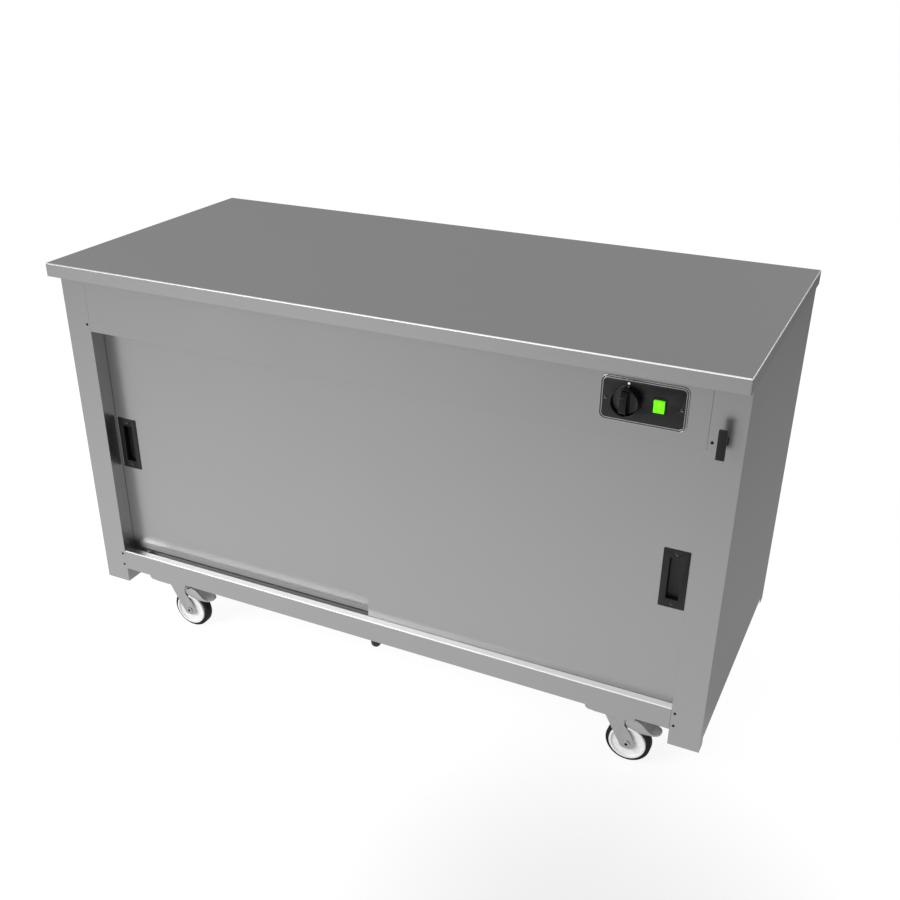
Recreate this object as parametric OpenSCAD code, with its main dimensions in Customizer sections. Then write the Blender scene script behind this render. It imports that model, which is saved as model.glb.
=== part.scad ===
// Mobile hot cupboard with a plain worktop, two bypass sliding doors and four swivel castors.
// Millimetres. X runs to the right, Y to the back, Z up. The origin is on the floor, under the
// middle of the worktop.

/* [Worktop] */
// Width of the worktop, left to right
top_w = 1500; // [1300:10:1800]
// Depth of the worktop, front to back
top_d = 684; // [640:2:760]
// Height of the worktop's upper face above the floor
top_z = 920; // [880:5:960]
// Height of the folded lip
lip_h = 29; // [24:1:34]
// Radius of the worktop's folded edges and corners
edge_r = 2.5; // [2:0.25:3.5]
// Sheet thickness of the worktop
top_t = 1.5; // [1.2:0.1:1.9]
// Depth of the hem under the front and back lips
hem_d = 12; // [8:1:14]
// How far the worktop stands past the body at the front
front_overhang = 36; // [32:1:42]
// How far the worktop stands past the body at the back
back_overhang = 23; // [18:1:28]
// Depth of the stiffening channels under the worktop
stiffener_h = 25; // [18:1:30]
// Width of the stiffening channels' web
stiffener_w = 60; // [40:5:80]

/* [Body] */
// Sheet thickness of the outer panels, rails and doors
skin_t = 1.2; // [1:0.1:1.4]
// Width of the front legs' face
flange_w = 64; // [56:1:72]
// Depth of the inward return behind each leg's face
return_d = 47; // [42:1:50]
// Width of the side panels' back flange
back_flange_w = 50; // [40:2:60]
// Drop of the feet below the bottom rail
foot_drop = 36.7; // [32:0.1:44]
// How far the feet reach below the side panels' bottom edge
foot_h = 18.5; // [14:0.5:22]
// Width of the feet, front to back
foot_w = 28; // [22:1:34]
// Height of the bottom rail's face
rail_h = 49.8; // [44:0.1:56]
// Depth of the bottom rail's inward lip
rail_lip = 8; // [6:0.5:9]
// Height of the fascia from the worktop's underside
fascia_h = 154; // [142:1:166]
// Depth of the fascia's bottom return
fascia_return = 14; // [10:1:16]
// Sheet thickness of the castor channels
channel_t = 2; // [1.5:0.25:3]
// Height of the castor channels, from the castor plates to the base tray
channel_h = 18.4; // [16:0.1:26]
// Width of the castor channels
channel_w = 106.8; // [104:0.1:120]
// How far the castor channels' middle lies to the left of the swivel axes
channel_off = 5.2; // [0:0.1:8]
// Distance from the body's front and back to the castor channels' ends
channel_end = 9.5; // [9:0.5:16]

/* [Doors] */
// Thickness of each door
door_t = 16; // [15:0.5:18]
// Gap between the two doors' planes
door_gap = 2; // [1.8:0.1:3]
// Depth of the front door's face behind the body's front
door_recess = 20; // [18:0.5:22]
// How far the doors pass each other when both are shut
door_lap = 21; // [16:1:30]
// Gap between a shut door and its leg
door_side_gap = 0.7; // [0.5:0.1:2]
// How far the doors' bottom edge lies below the sill
door_drop = 1.7; // [1:0.1:3]
// How far the doors' top edge reaches behind the fascia
door_rise = 7.5; // [5:0.5:10]
// Depth of the door troughs
trough_d = 14; // [12:0.5:18]
// Thickness of the web between the troughs
web_t = 1; // [0.8:0.1:1.5]
// Distance from each leg to the stop's buffer
stop_in = 65; // [55:1:80]

/* [Pulls] */
// Width of the flush pull's plate
pull_w = 51; // [46:1:56]
// Height of the flush pull's plate
pull_h = 127; // [115:1:140]
// Thickness of the flush pull's plate
pull_t = 1.2; // [1:0.1:1.5]
// Width of the finger pocket
pocket_w = 24.5; // [20:0.5:28]
// Height of the finger pocket
pocket_h = 90; // [80:1:96]
// Wall of the finger pocket
pocket_wall = 1.3; // [1:0.1:1.6]
// Distance from the door's edge to the pull's middle
pull_in = 30.5; // [29:0.5:40]
// Height of the pulls' middle below the worktop
pull_drop = 438; // [400:1:480]
// Distance from the pull's middle to each of its screws
pull_screw = 54; // [52:0.5:55]

/* [Controls] */
// Distance from the right leg to the control plate's middle
plate_in = 118; // [105:1:200]
// Height of the control plate's middle below the worktop
plate_drop = 89.8; // [86:0.2:94]
// Width of the control plate
plate_w = 147; // [140:1:155]
// Height of the control plate
plate_h = 73; // [64:1:76]
// Thickness of the control plate
plate_t = 1.8; // [1.5:0.1:2.2]
// Width of the bezel around the plate
bezel_w = 5.5; // [4:0.5:7]
// Width of the two ridges that run round the bezel
ridge_w = 1.5; // [1:0.1:1.9]
// Thickness of the bezel
bezel_t = 2.4; // [2.2:0.1:3]
// Distance from the plate's middle to the knob and to the switch
control_x = 28.5; // [27:0.5:32]
// Radius of the knob
knob_r = 27; // [24:0.5:29]
// Depth of the knob's cup
knob_d = 21; // [18:0.5:23]
// Depth of the knob's rim round the sunk face
cup_d = 13; // [8:0.5:16]
// Reach of the knob's grip from the plate
grip_d = 31; // [26:0.5:33]
// Width of the knob's grip
grip_w = 12.7; // [11:0.1:14]
// Width of the rocker switch's lens
rocker_w = 20; // [18:0.5:21]
// Height of the rocker switch's lens
rocker_h = 25; // [23:0.5:26]
// Tilt of the rocker switch from level, in degrees
rocker_tilt = 6; // [4:0.5:7]

/* [Plug hook] */
// Distance from the right leg's inner edge to the hook's middle
hook_in = 29; // [26:0.1:34]
// Height of the hook's stem below the worktop
hook_drop = 131; // [120:1:145]
// Width of the hook's bar
hook_w = 15; // [12:0.5:17]
// Height of the hook's bar
hook_h = 56; // [48:1:62]
// Reach of the hook from the leg's face
hook_d = 31; // [27:0.5:32]

/* [Heated cavity] */
// Sheet thickness of the liner
liner_t = 1; // [0.8:0.1:1.2]
// Distance from the legs' inner edge to the liner's side walls
wall_in = 12.2; // [10:0.2:16]
// Thickness of the insulated back
back_in = 40; // [34:1:50]
// Thickness of the mineral wool
wool_t = 25; // [15:1:28]
// Height of the shelf's lips
shelf_lip = 20; // [15:1:26]
// Height of the shelf, as a share of the cavity's height
shelf_share = 0.49; // [0.4:0.01:0.6]
// Diameter of the heating element's tube
element_dia = 8.5; // [6.5:0.5:10]
// Distance between the heating element's runs
element_pitch = 50; // [44:1:56]
// Height of the element guard
guard_h = 48; // [42:1:60]

/* [Castors] */
// Height of the castors, floor to the top of their plates
castor_h = 132; // [126:0.5:140]
// Distance from the body's middle to the castors' swivel axes
castor_x = 564; // [540:1:570]
// Distance from the body's front and back to the swivel axes
castor_in = 54.5; // [54:0.5:70]
// Gap between the wheels and the fork's crown
crown_gap = 18.6; // [17:0.1:21]
// Width of the tyres
tyre_w = 21; // [18:0.5:24]
// Depth of the tyres round the discs
tyre_d = 8.7; // [7:0.1:10]
// Width of the wheels' white disc
disc_w = 30; // [26:0.5:32]
// Distance from the swivel axis to the axle
trail = 30; // [28:0.5:33]
// Length of the castor plate, left to right
castor_plate_l = 96; // [92:1:98]
// Width of the castor plate, front to back
castor_plate_w = 85; // [80:1:86]
// Thickness of the castor plate
castor_plate_t = 3; // [2.5:0.25:4]
// Thickness of the fork's pressed sheet
fork_t = 2.5; // [2:0.25:3]
// Radius of the corners of the fork's lower ends
fork_end_r = 12.3; // [10:0.1:14]
// Width of the flat between those corners
fork_flat = 8; // [4:0.5:10]
// Reach of the brake pedal from the swivel axis
pedal_reach = 97; // [90:1:100]
// Length of the brake pedal's level tread
pedal_tread = 18.5; // [15:0.5:22]
// Drop of the brake pedal from its shoulder to its tread
pedal_drop = 28.5; // [26:0.5:30]
// Thickness of the brake pedal's sheet
pedal_t = 2; // [1.5:0.25:2.5]

/* [Hidden] */
$fn = 48;

// Clearances: cuts overrun their solids by cut_over, seam is the gap between fitted sheets,
// run_gap is the radial clearance of a pin that turns, face_gap of faces that turn past each other
cut_over = 1;
seam = 0.3;
run_gap = 0.05;
face_gap = 0.4;
slide_gap = 0.5;
rest_gap = 0.1;

// Planes of the body
body_x = top_w / 2 - top_t - seam;
leg_x = body_x - flange_w;
front_y = -top_d / 2 + front_overhang;
back_y = top_d / 2 - back_overhang;
deck_z = top_z - top_t;
tray_z = castor_h + channel_h;
rail_z = tray_z - skin_t;
sill_z = rail_z + rail_h;
foot_z = rail_z - foot_drop;
side_z = foot_z + foot_h;
head_z = deck_z - fascia_h;

// Planes of the doors and their troughs
door_pitch = door_t + door_gap;
front_door_y = front_y + door_recess + door_t / 2;
rear_door_y = front_door_y + door_pitch;
door_z0 = sill_z - door_drop;
door_z1 = head_z + door_rise;
door_x = leg_x - door_side_gap;
door_in_x = door_lap / 2;
trough_half = (door_pitch - web_t) / 2;
trough_z = sill_z - trough_d;
web_drop = 1.1;
pull_z = top_z - pull_drop;

// Planes of the heated cavity
liner_y = rear_door_y + trough_half + skin_t;
wall_x = leg_x - wall_in;
wall_y = back_y - back_in;
floor_z = sill_z + liner_t;
ceiling_gap = 3.5;
ceiling_z = head_z + ceiling_gap;
liner_seat = 14;
liner_tuck = 26;

// Top track: a plate with two hanging hooks, one above each door
track_t = 1.5;
track_rise = 38;
track_z = ceiling_z + track_rise;
fin_rise = 18;
fin_top_z = door_z1 + fin_rise;
fin_h = 7;
hook_run = 7.2;
hanger_h = 28;
hanger_w = 30;
hanger_t = 1.5;
hanger_foot = 12;
hanger_half = 7;
hanger_in = 60;
glide_drop = 4;
glide_rise = 12;
glide_d = 9;
guide_l = 40;
guide_lift = 1.7;
guide_in = 2;

// Stop in each trough: an upright bracket with a rubber buffer
stop_l = 20;
buffer_l = 12;
buffer_r = 5;
stop_w = 13;

// Controls
plate_x = leg_x - plate_in;
plate_z = top_z - plate_drop;
plate_r = 7.5;
knob_x = plate_x - control_x;
knob_lift = 2;
knob_z = plate_z + knob_lift;
switch_x = plate_x + control_x;
plate_y = front_y - plate_t;
spindle_r = 3;
spindle_l = 16;
bush_r = 7;
bush_hole_r = 7.5;
thermostat_w = 40;
thermostat_d = 24;
switch_rim = 1.4;
switch_rim_t = 1.5;
switch_wall = 1.2;
switch_d = 24;
rocker_d = 11;
rocker_pin_r = 1.2;
plate_screw_in = 5;

// Screws: radius of the shank, and the head's radius and height
screw_r = 2;
screw_l = 7;
screw_head_r = 3;
screw_head_h = 1.5;
screw_hole_r = 2.2;
leg_screw_in = 7.5;
leg_screw_rise = [32, 62.3];
leg_screw_head = 15.5;

// Cabinet hardware
gland_r = 12;
gland_h = 37;
gland_bore_r = 5;
gland_flange_r = 15;
gland_flange_h = 4;
gland_back = 34;
bolt_r = 4;
bolt_hole_r = 4.3;
bolt_head_r = 6.5;
bolt_head_h = 5.3;
bolt_top = 8;
bolt_inset_share = 0.12;
channel_bend = 10;
channel_shoulder_shares = [[0, 0.9], [0.1, 0.5], [0.3, 0.26], [0.6, 0.1], [1, 0]];

// Castors: wheel and fork follow from the castor's height
fork_gap = 0.6;
fork_y = disc_w / 2 + fork_gap;
race_r = 29;
race_h = 5;
cup_r = 31;
cup_h = 8;
crown_z = castor_h - castor_plate_t - race_h - face_gap - cup_h;
crown_t = 2.5;
wheel_r = (crown_z - crown_gap) / 2;
disc_r = wheel_r - tyre_d;
king_r = 6;
king_head_r = 9;
king_head_h = 4;
axle_r = 5;
axle_head_r = 8.5;
axle_head_h = 2.5;
socket_r = 3.4;
pivot_r = 3;
hub_r = 13;
dish_d = 4;
rim_w = 5.2;
castor_corner_r = 10;

// Sheet metal and outlines

// A block between two corners
module slab(low, high) {
    translate(low) cube(high - low);
}

// Section of a folded sheet of thickness t along a centre line, with rounded bends
module fold(points, t) {
    for (i = [1 : len(points) - 1]) {
        step = points[i] - points[i - 1];
        translate(points[i - 1])
            rotate(atan2(step.y, step.x))
                translate([0, -t / 2])
                    square([norm(step), t]);
    }
    if (len(points) > 2)
        for (i = [1 : len(points) - 2])
            translate(points[i]) circle(d = t, $fn = 24);
}

// A rectangle with rounded corners, about its middle
module round_rect(w, h, r) {
    square([w - 2 * r, h], center = true);
    square([w, h - 2 * r], center = true);
    for (i = [-1, 1], j = [-1, 1])
        translate([i * (w / 2 - r), j * (h / 2 - r)]) circle(r);
}

// A round-ended slot along X, about its middle
module slot(length, width) {
    square([length - width, width], center = true);
    for (i = [-1, 1])
        translate([i * (length - width) / 2, 0]) circle(d = width, $fn = 24);
}

// Sections drawn in two axes and run along the third
module along_x(x0, x1) {
    translate([x0, 0, 0]) rotate([90, 0, 90]) linear_extrude(x1 - x0) children();
}
module along_y(y0, y1) {
    translate([0, y1, 0]) rotate([90, 0, 0]) linear_extrude(y1 - y0) children();
}
module along_z(z0, z1) {
    translate([0, 0, z0]) linear_extrude(z1 - z0) children();
}

// A round bar or hole along Y, between two planes
module bar_y(x, z, r, y0, y1) {
    translate([x, y1, z]) rotate([90, 0, 0]) cylinder(r = r, h = y1 - y0);
}

// The same shape on the left and on the right
module both_sides() {
    children();
    mirror([1, 0, 0]) children();
}

// Worktop

// Section of the worktop's outside across one span, with rounded upper corners
module top_section(span) {
    low_z = top_z - lip_h;
    translate([-span / 2, low_z]) square([span, lip_h - edge_r]);
    translate([-span / 2 + edge_r, low_z]) square([span - 2 * edge_r, lip_h]);
    for (i = [-1, 1])
        translate([i * (span / 2 - edge_r), top_z - edge_r]) circle(edge_r);
}

module worktop() {
    low_z = top_z - lip_h;
    in_x = top_w / 2 - top_t;
    in_y = top_d / 2 - top_t;
    hem_y = top_d / 2 - hem_d;
    color("silver") difference() {
        intersection() {
            along_x(-top_w / 2, top_w / 2) top_section(top_d);
            along_y(-top_d / 2, top_d / 2) top_section(top_w);
            along_z(low_z, top_z) round_rect(top_w, top_d, edge_r);
        }
        slab([-in_x, -in_y, low_z + top_t], [in_x, in_y, deck_z]);
        slab([-in_x, -hem_y, low_z - cut_over], [in_x, hem_y, low_z + 2 * top_t]);
    }
}

// Two hat channels that carry the sheet between the ends
module worktop_stiffeners() {
    end_x = body_x - skin_t - slide_gap;
    brim = stiffener_w / 4;
    half = stiffener_w / 2;
    top = deck_z - skin_t / 2;
    low = deck_z - stiffener_h + skin_t / 2;
    color("gray") for (i = [-1, 1]) {
        y = i * top_d / 4;
        along_x(-end_x, end_x) fold([
            [y - half - brim, top], [y - half, top], [y - half, low],
            [y + half, low], [y + half, top], [y + half + brim, top]
        ], skin_t);
    }
}

// Outer body

// Right side panel: inward return, leg face, side and back flange from one sheet
module side_panel() {
    h = skin_t / 2;
    inner = [leg_x + h, front_y + return_d];
    corner = [leg_x + h, front_y + h];
    outer = [body_x - h, front_y + h];
    rear = [body_x - h, back_y - h];
    difference() {
        union() {
            along_z(side_z, deck_z)
                fold([inner, corner, outer, rear, [body_x - back_flange_w, back_y - h]], skin_t);
            along_z(foot_z, side_z + cut_over) {
                fold([inner, corner, outer, [body_x - h, front_y + foot_w]], skin_t);
                fold([[body_x - h, back_y - foot_w], rear, [body_x - back_flange_w, back_y - h]],
                    skin_t);
            }
        }
        for (z = leg_screw_heights())
            bar_y(leg_x + leg_screw_in, z, screw_hole_r, front_y - cut_over,
                front_y + skin_t + cut_over);
        for (z = back_screw_heights())
            bar_y(back_screw_x(), z, screw_hole_r, back_y - skin_t - cut_over, back_y + cut_over);
    }
}

function leg_screw_heights() = [
    for (rise = leg_screw_rise) sill_z - rise + leg_screw_rise[0] / 2 + leg_screw_in,
    head_z + leg_screw_head
];
function back_screw_heights() = [for (share = [0.08, 0.36, 0.64, 0.92])
    side_z + (deck_z - lip_h - side_z) * share];
function back_screw_x() = body_x - back_flange_w / 2;

module side_panel_right() {
    color("gainsboro") side_panel();
}

module side_panel_left() {
    color("gainsboro") mirror([1, 0, 0]) side_panel();
}

module back_panel() {
    end_x = body_x - skin_t - seam;
    color("lightgray") difference() {
        slab([-end_x, back_y - 2 * skin_t, tray_z], [end_x, back_y - skin_t, deck_z]);
        for (z = back_screw_heights())
            both_sides() bar_y(back_screw_x(), z, screw_hole_r,
                back_y - 2 * skin_t - cut_over, back_y);
    }
}

module fascia() {
    h = skin_t / 2;
    end_x = leg_x - seam;
    color("gainsboro") difference() {
        along_x(-end_x, end_x)
            fold([[front_y + h, deck_z], [front_y + h, head_z + h],
                [front_y + fascia_return, head_z + h]], skin_t);
        bar_y(knob_x, knob_z, bush_hole_r, front_y - cut_over, front_y + skin_t + cut_over);
        along_y(front_y - cut_over, front_y + skin_t + cut_over)
            translate([switch_x, plate_z])
                square([rocker_w, rocker_h] + 2 * [1, 1] * (switch_wall + seam), center = true);
        for (i = [-1, 1])
            bar_y(plate_x + i * (plate_w / 2 - plate_screw_in), plate_z, screw_hole_r,
                front_y - cut_over, front_y + skin_t + cut_over);
    }
}

// Bottom rail: face, ledge and the two door troughs from one sheet, with a web between them
module bottom_rail() {
    h = skin_t / 2;
    end_x = leg_x - seam;
    wall_front = front_door_y - trough_half - h;
    wall_rear = rear_door_y + trough_half + h;
    web_y = front_door_y + trough_half;
    color("gainsboro") along_x(-end_x, end_x) {
        fold([
            [front_y + rail_lip, rail_z + h], [front_y + h, rail_z + h],
            [front_y + h, sill_z - h], [wall_front, sill_z - h], [wall_front, trough_z - h],
            [wall_rear, trough_z - h], [wall_rear, sill_z - h],
            [wall_rear + liner_seat, sill_z - h]
        ], skin_t);
        translate([web_y, trough_z - h]) square([web_t, door_z0 - web_drop - trough_z + h]);
    }
}

// Top track: one plate on the liner's upstand, with a hook for each door's glides
module top_track() {
    h = track_t / 2;
    end_x = leg_x - seam;
    first = front_door_y + hook_run - h;
    color("gainsboro") along_x(-end_x, end_x) {
        translate([first, track_z]) square([liner_y + liner_seat - first, track_t]);
        for (y = [front_door_y, rear_door_y])
            fold([[y, fin_top_z], [y, fin_top_z - fin_h], [y + hook_run, fin_top_z - fin_h],
                [y + hook_run, track_z + h]], track_t);
    }
}

module back_plane_screw(x, z, y, out) {
    translate([x, y, z]) rotate([out * 90, 0, 0]) screw();
}

// A dome-headed screw that points down, its head's underside at zero
module screw() {
    translate([0, 0, -screw_l]) cylinder(r = screw_r, h = screw_l + cut_over / 2);
    intersection() {
        cylinder(r = screw_head_r, h = screw_head_h);
        translate([0, 0, -screw_head_r]) sphere(screw_head_r + screw_head_h);
    }
}

module panel_screws() {
    color("black") {
        both_sides() {
            for (z = leg_screw_heights()) back_plane_screw(leg_x + leg_screw_in, z, front_y, 1);
            for (z = back_screw_heights()) back_plane_screw(back_screw_x(), z, back_y, -1);
        }
        for (i = [-1, 1])
            back_plane_screw(plate_x + i * (plate_w / 2 - plate_screw_in), plate_z, plate_y, 1);
    }
}

// Base

module base_tray() {
    wide_x = body_x - skin_t - seam;
    narrow_x = leg_x - seam;
    step_y = front_y + return_d + seam;
    color("gray") difference() {
        along_z(tray_z, tray_z + skin_t) {
            translate([-narrow_x, front_y + skin_t + seam])
                square([2 * narrow_x, step_y - front_y - skin_t]);
            translate([-wide_x, step_y]) square([2 * wide_x, back_y - 2 * skin_t - step_y]);
        }
        translate([0, front_y + gland_back, tray_z - cut_over])
            cylinder(r = gland_r - skin_t, h = skin_t + 2 * cut_over);
    }
}

// Places of the four castors: name, left or right, front or back, braked
castors = [["fl", -1, -1, true], ["fr", 1, -1, true], ["rl", -1, 1, false], ["rr", 1, 1, false]];
function castor_at(castor) = [castor[1] * castor_x,
    castor[2] < 0 ? front_y + castor_in : back_y - castor_in];
bolt_x = castor_plate_l * (0.5 - bolt_inset_share);
bolt_y = castor_plate_w * (0.5 - bolt_inset_share) - bolt_r / 2;

module bolt_places() {
    for (i = [-1, 1], j = [-1, 1]) translate([i * bolt_x, j * bolt_y]) children();
}

// Outline of a channel from its open top to its floor, with a rolled shoulder on one side
module channel_section(half, low, high) {
    polygon(concat([[half, high], [-half, high]],
        [for (share = channel_shoulder_shares)
            [-half + share.x * channel_bend, low + share.y * channel_bend]],
        [[half, low]]));
}

// Two open-topped channels, closed at their ends, that take the castor plates
module castor_channels() {
    half = channel_w / 2;
    color("gainsboro") difference() {
        for (i = [-1, 1]) translate([i * castor_x - channel_off, 0, 0]) difference() {
            along_y(front_y + channel_end, back_y - channel_end)
                channel_section(half, castor_h, tray_z);
            along_y(front_y + channel_end + channel_t, back_y - channel_end - channel_t)
                channel_section(half - channel_t, castor_h + channel_t, tray_z + cut_over);
        }
        for (castor = castors) translate(castor_at(castor)) {
            along_z(castor_h - cut_over, castor_h + channel_t + cut_over) {
                circle(king_head_r + 2 * seam + bolt_r / 2);
                bolt_places() circle(bolt_hole_r);
            }
        }
    }
}

// Supply cable gland that hangs under the front of the base
module cable_gland() {
    low = tray_z - gland_h;
    color("black") translate([0, front_y + gland_back, 0]) rotate_extrude() polygon([
        [gland_bore_r, low], [gland_r * 0.62, low], [gland_r * 0.9, low + gland_h * 0.12],
        [gland_r, low + gland_h * 0.3], [gland_r, tray_z - gland_flange_h],
        [gland_flange_r, tray_z - gland_flange_h], [gland_flange_r, tray_z],
        [gland_r - skin_t - seam, tray_z], [gland_r - skin_t - seam, tray_z + 2 * gland_flange_h],
        [gland_bore_r, tray_z + 2 * gland_flange_h]
    ]);
}

module terminal_block() {
    block = [60, 26, 20];
    ways = 5;
    pitch = block.x / ways;
    low = tray_z + skin_t;
    color("ivory") translate([gland_flange_r * 3, front_y + gland_back - block.y / 2, low])
        difference() {
            cube(block);
            for (i = [0 : ways - 1])
                translate([(i + 0.5) * pitch, block.y / 2, block.z - bolt_r])
                    cylinder(r = bolt_r, h = bolt_r + cut_over);
            for (i = [1 : ways - 1])
                translate([i * pitch - channel_t / 4, -cut_over, block.z / 2])
                    cube([channel_t / 2, block.y + 2 * cut_over, block.z]);
        }
}

// Doors' stops: a bracket in each trough and its buffer
module track_stop_places() {
    for (i = [-1, 1])
        translate([i * (leg_x - stop_in), i < 0 ? front_door_y : rear_door_y, trough_z])
            mirror([i < 0 ? 1 : 0, 0, 0]) children();
}

module track_stops() {
    upright = trough_d - door_drop - 2 * seam;
    half = stop_w / 2;
    color("silver") track_stop_places() {
        slab([buffer_l, -half, 0], [buffer_l + stop_l, half, skin_t]);
        slab([buffer_l, -half, 0], [buffer_l + skin_t, half, upright]);
    }
}

module track_buffers() {
    color("black") track_stop_places()
        translate([0, 0, buffer_r + skin_t / 2]) rotate([0, 90, 0]) rotate_extrude() polygon([
            [0, 0], [buffer_r * 0.7, 0], [buffer_r, buffer_r * 0.4], [buffer_r, buffer_l],
            [0, buffer_l]
        ]);
}

// Heated liner and what it holds

// Right wall, with a front edge that tucks round behind the leg's return
module liner_wall() {
    h = liner_t / 2;
    tuck_x = leg_x + skin_t + h;
    along_z(floor_z, ceiling_z)
        fold([[wall_x + h, wall_y], [wall_x + h, liner_y + h], [tuck_x, liner_y + h],
            [tuck_x, liner_y - liner_tuck]], liner_t);
}

module liner_right() {
    color("silver") liner_wall();
}

module liner_left() {
    color("silver") mirror([1, 0, 0]) liner_wall();
}

module liner_back() {
    end_x = wall_x + liner_t;
    color("silver") slab([-end_x, wall_y, floor_z], [end_x, wall_y + liner_t, ceiling_z]);
}

module liner_floor() {
    end_x = wall_x + liner_t;
    color("silver") slab([-end_x, liner_y, sill_z], [end_x, wall_y + liner_t, floor_z]);
}

// Ceiling, whose front edge stands up to carry the top track
module liner_ceiling() {
    end_x = leg_x - seam;
    h = liner_t / 2;
    color("silver") along_x(-end_x, end_x)
        fold([[wall_y + liner_t, ceiling_z + h], [liner_y + h, ceiling_z + h],
            [liner_y + h, track_z - h], [liner_y + liner_seat, track_z - h]], liner_t);
}

// Mineral wool slabs on the outside of the liner's walls, floor and ceiling
module insulation() {
    side_in = wall_x + liner_t;
    slab_y = liner_y + liner_seat + slide_gap;
    color("khaki") {
        both_sides() slab([side_in, slab_y, floor_z], [side_in + wool_t, wall_y, ceiling_z]);
        slab([-side_in, wall_y + liner_t, floor_z],
            [side_in, wall_y + liner_t + wool_t, ceiling_z]);
        slab([-side_in, slab_y, ceiling_z + liner_t],
            [side_in, wall_y, ceiling_z + liner_t + wool_t]);
        slab([-side_in, slab_y, sill_z - wool_t], [side_in, wall_y, sill_z]);
    }
}

cavity_h = ceiling_z - floor_z;
shelf_z = floor_z + cavity_h * shelf_share;
shelf_gap = 3;
shelf_front = liner_y + liner_seat;
rail_w = 18;
rail_up = 15;

// Slotted shelf with folded lips
module shelf() {
    half_x = wall_x - skin_t - shelf_gap;
    far_y = wall_y - shelf_gap;
    columns = 9;
    rows = 2;
    step_x = 2 * half_x / (columns + 1);
    step_y = (far_y - shelf_front) / (rows + 1);
    color("silver") difference() {
        slab([-half_x, shelf_front, shelf_z - shelf_lip], [half_x, far_y, shelf_z]);
        slab([-half_x + skin_t, shelf_front + skin_t, shelf_z - shelf_lip - cut_over],
            [half_x - skin_t, far_y - skin_t, shelf_z - skin_t]);
        along_z(shelf_z - 2 * skin_t, shelf_z + cut_over)
            for (i = [1 : columns], j = [1 : rows])
                translate([-half_x + i * step_x, shelf_front + j * step_y])
                    slot(step_x / 2, shelf_lip / 2);
    }
}

// Angle runners on the side walls that the shelf's lips rest on
module shelf_rails() {
    h = skin_t / 2;
    low = shelf_z - shelf_lip;
    color("silver") both_sides() along_y(shelf_front, wall_y - shelf_gap)
        fold([[wall_x - rail_w, low - h], [wall_x - h, low - h], [wall_x - h, low + rail_up]],
            skin_t);
}

element_z = floor_z + guard_h * 0.45;
element_bends = 3;

// Half a hairpin bend of the tube, opening towards the back
module hairpin(way) {
    rotate([0, 0, way > 0 ? 0 : 180]) rotate_extrude(angle = 180)
        translate([element_pitch / 2, 0]) circle(d = element_dia);
}

// Tubular element: four runs joined by bends, on a flange plate fixed to the back wall
module heating_element() {
    runs = element_bends + 1;
    reach = (wall_y - liner_y) * 0.6;
    near = wall_y - reach;
    far = wall_y - element_pitch;
    flange_t = 3;
    half_w = (element_bends / 2 + 0.5) * element_pitch;
    color("dimgray") {
        for (i = [0 : runs - 1]) {
            x = (i - element_bends / 2) * element_pitch;
            outer = i == 0 || i == runs - 1;
            bar_y(x, element_z, element_dia / 2, near, outer ? wall_y - flange_t / 2 : far);
        }
        for (i = [0 : element_bends - 1])
            translate([(i + 0.5 - element_bends / 2) * element_pitch,
                i % 2 == 0 ? near : far, element_z])
                hairpin(i % 2 == 0 ? -1 : 1);
        slab([-half_w, wall_y - flange_t, element_z - element_pitch / 4],
            [half_w, wall_y, element_z + element_pitch / 4]);
    }
}

// Slotted guard over the element, standing on the floor
module element_guard() {
    h = skin_t / 2;
    half = (element_bends / 2 + 1.2) * element_pitch;
    brim = element_pitch / 3;
    near = wall_y - (wall_y - liner_y) * 0.75;
    far = wall_y - shelf_gap;
    top = floor_z + guard_h - h;
    slots = 7;
    step = (far - near) / (slots + 1);
    color("silver") difference() {
        along_y(near, far) fold([
            [-half - brim, floor_z + h], [-half, floor_z + h], [-half, top],
            [half, top], [half, floor_z + h], [half + brim, floor_z + h]
        ], skin_t);
        along_z(top - 2 * skin_t, top + 2 * skin_t)
            for (i = [1 : slots]) translate([0, near + i * step]) slot(half * 1.5, step / 4);
    }
}

// Controls on the fascia

// A frame of width w and depth d outside the control plate, its inner edge lying off from it
module bezel_ring(off, w, d) {
    along_y(front_y - d, front_y) difference() {
        round_rect(plate_w + 2 * (off + w), plate_h + 2 * (off + w), plate_r + off + w);
        round_rect(plate_w + 2 * off, plate_h + 2 * off, plate_r + off);
    }
}

// Steel frame round the control plate, with a groove between two ridges
module control_bezel() {
    color("silver") translate([plate_x, 0, plate_z]) {
        bezel_ring(seam, bezel_w - seam, bezel_t / 3);
        bezel_ring(seam, ridge_w, bezel_t);
        bezel_ring(bezel_w - ridge_w, ridge_w, bezel_t);
    }
}

module control_plate() {
    color("black") difference() {
        along_y(plate_y, front_y) translate([plate_x, plate_z])
            round_rect(plate_w, plate_h, plate_r);
        bar_y(knob_x, knob_z, bush_hole_r, plate_y - cut_over, front_y + cut_over);
        along_y(plate_y - cut_over, front_y + cut_over) translate([switch_x, plate_z])
            square([rocker_w, rocker_h] + 2 * [1, 1] * (switch_wall + seam), center = true);
        for (i = [-1, 1])
            bar_y(plate_x + i * (plate_w / 2 - plate_screw_in), plate_z, screw_hole_r,
                plate_y - cut_over, front_y + cut_over);
    }
}

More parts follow.
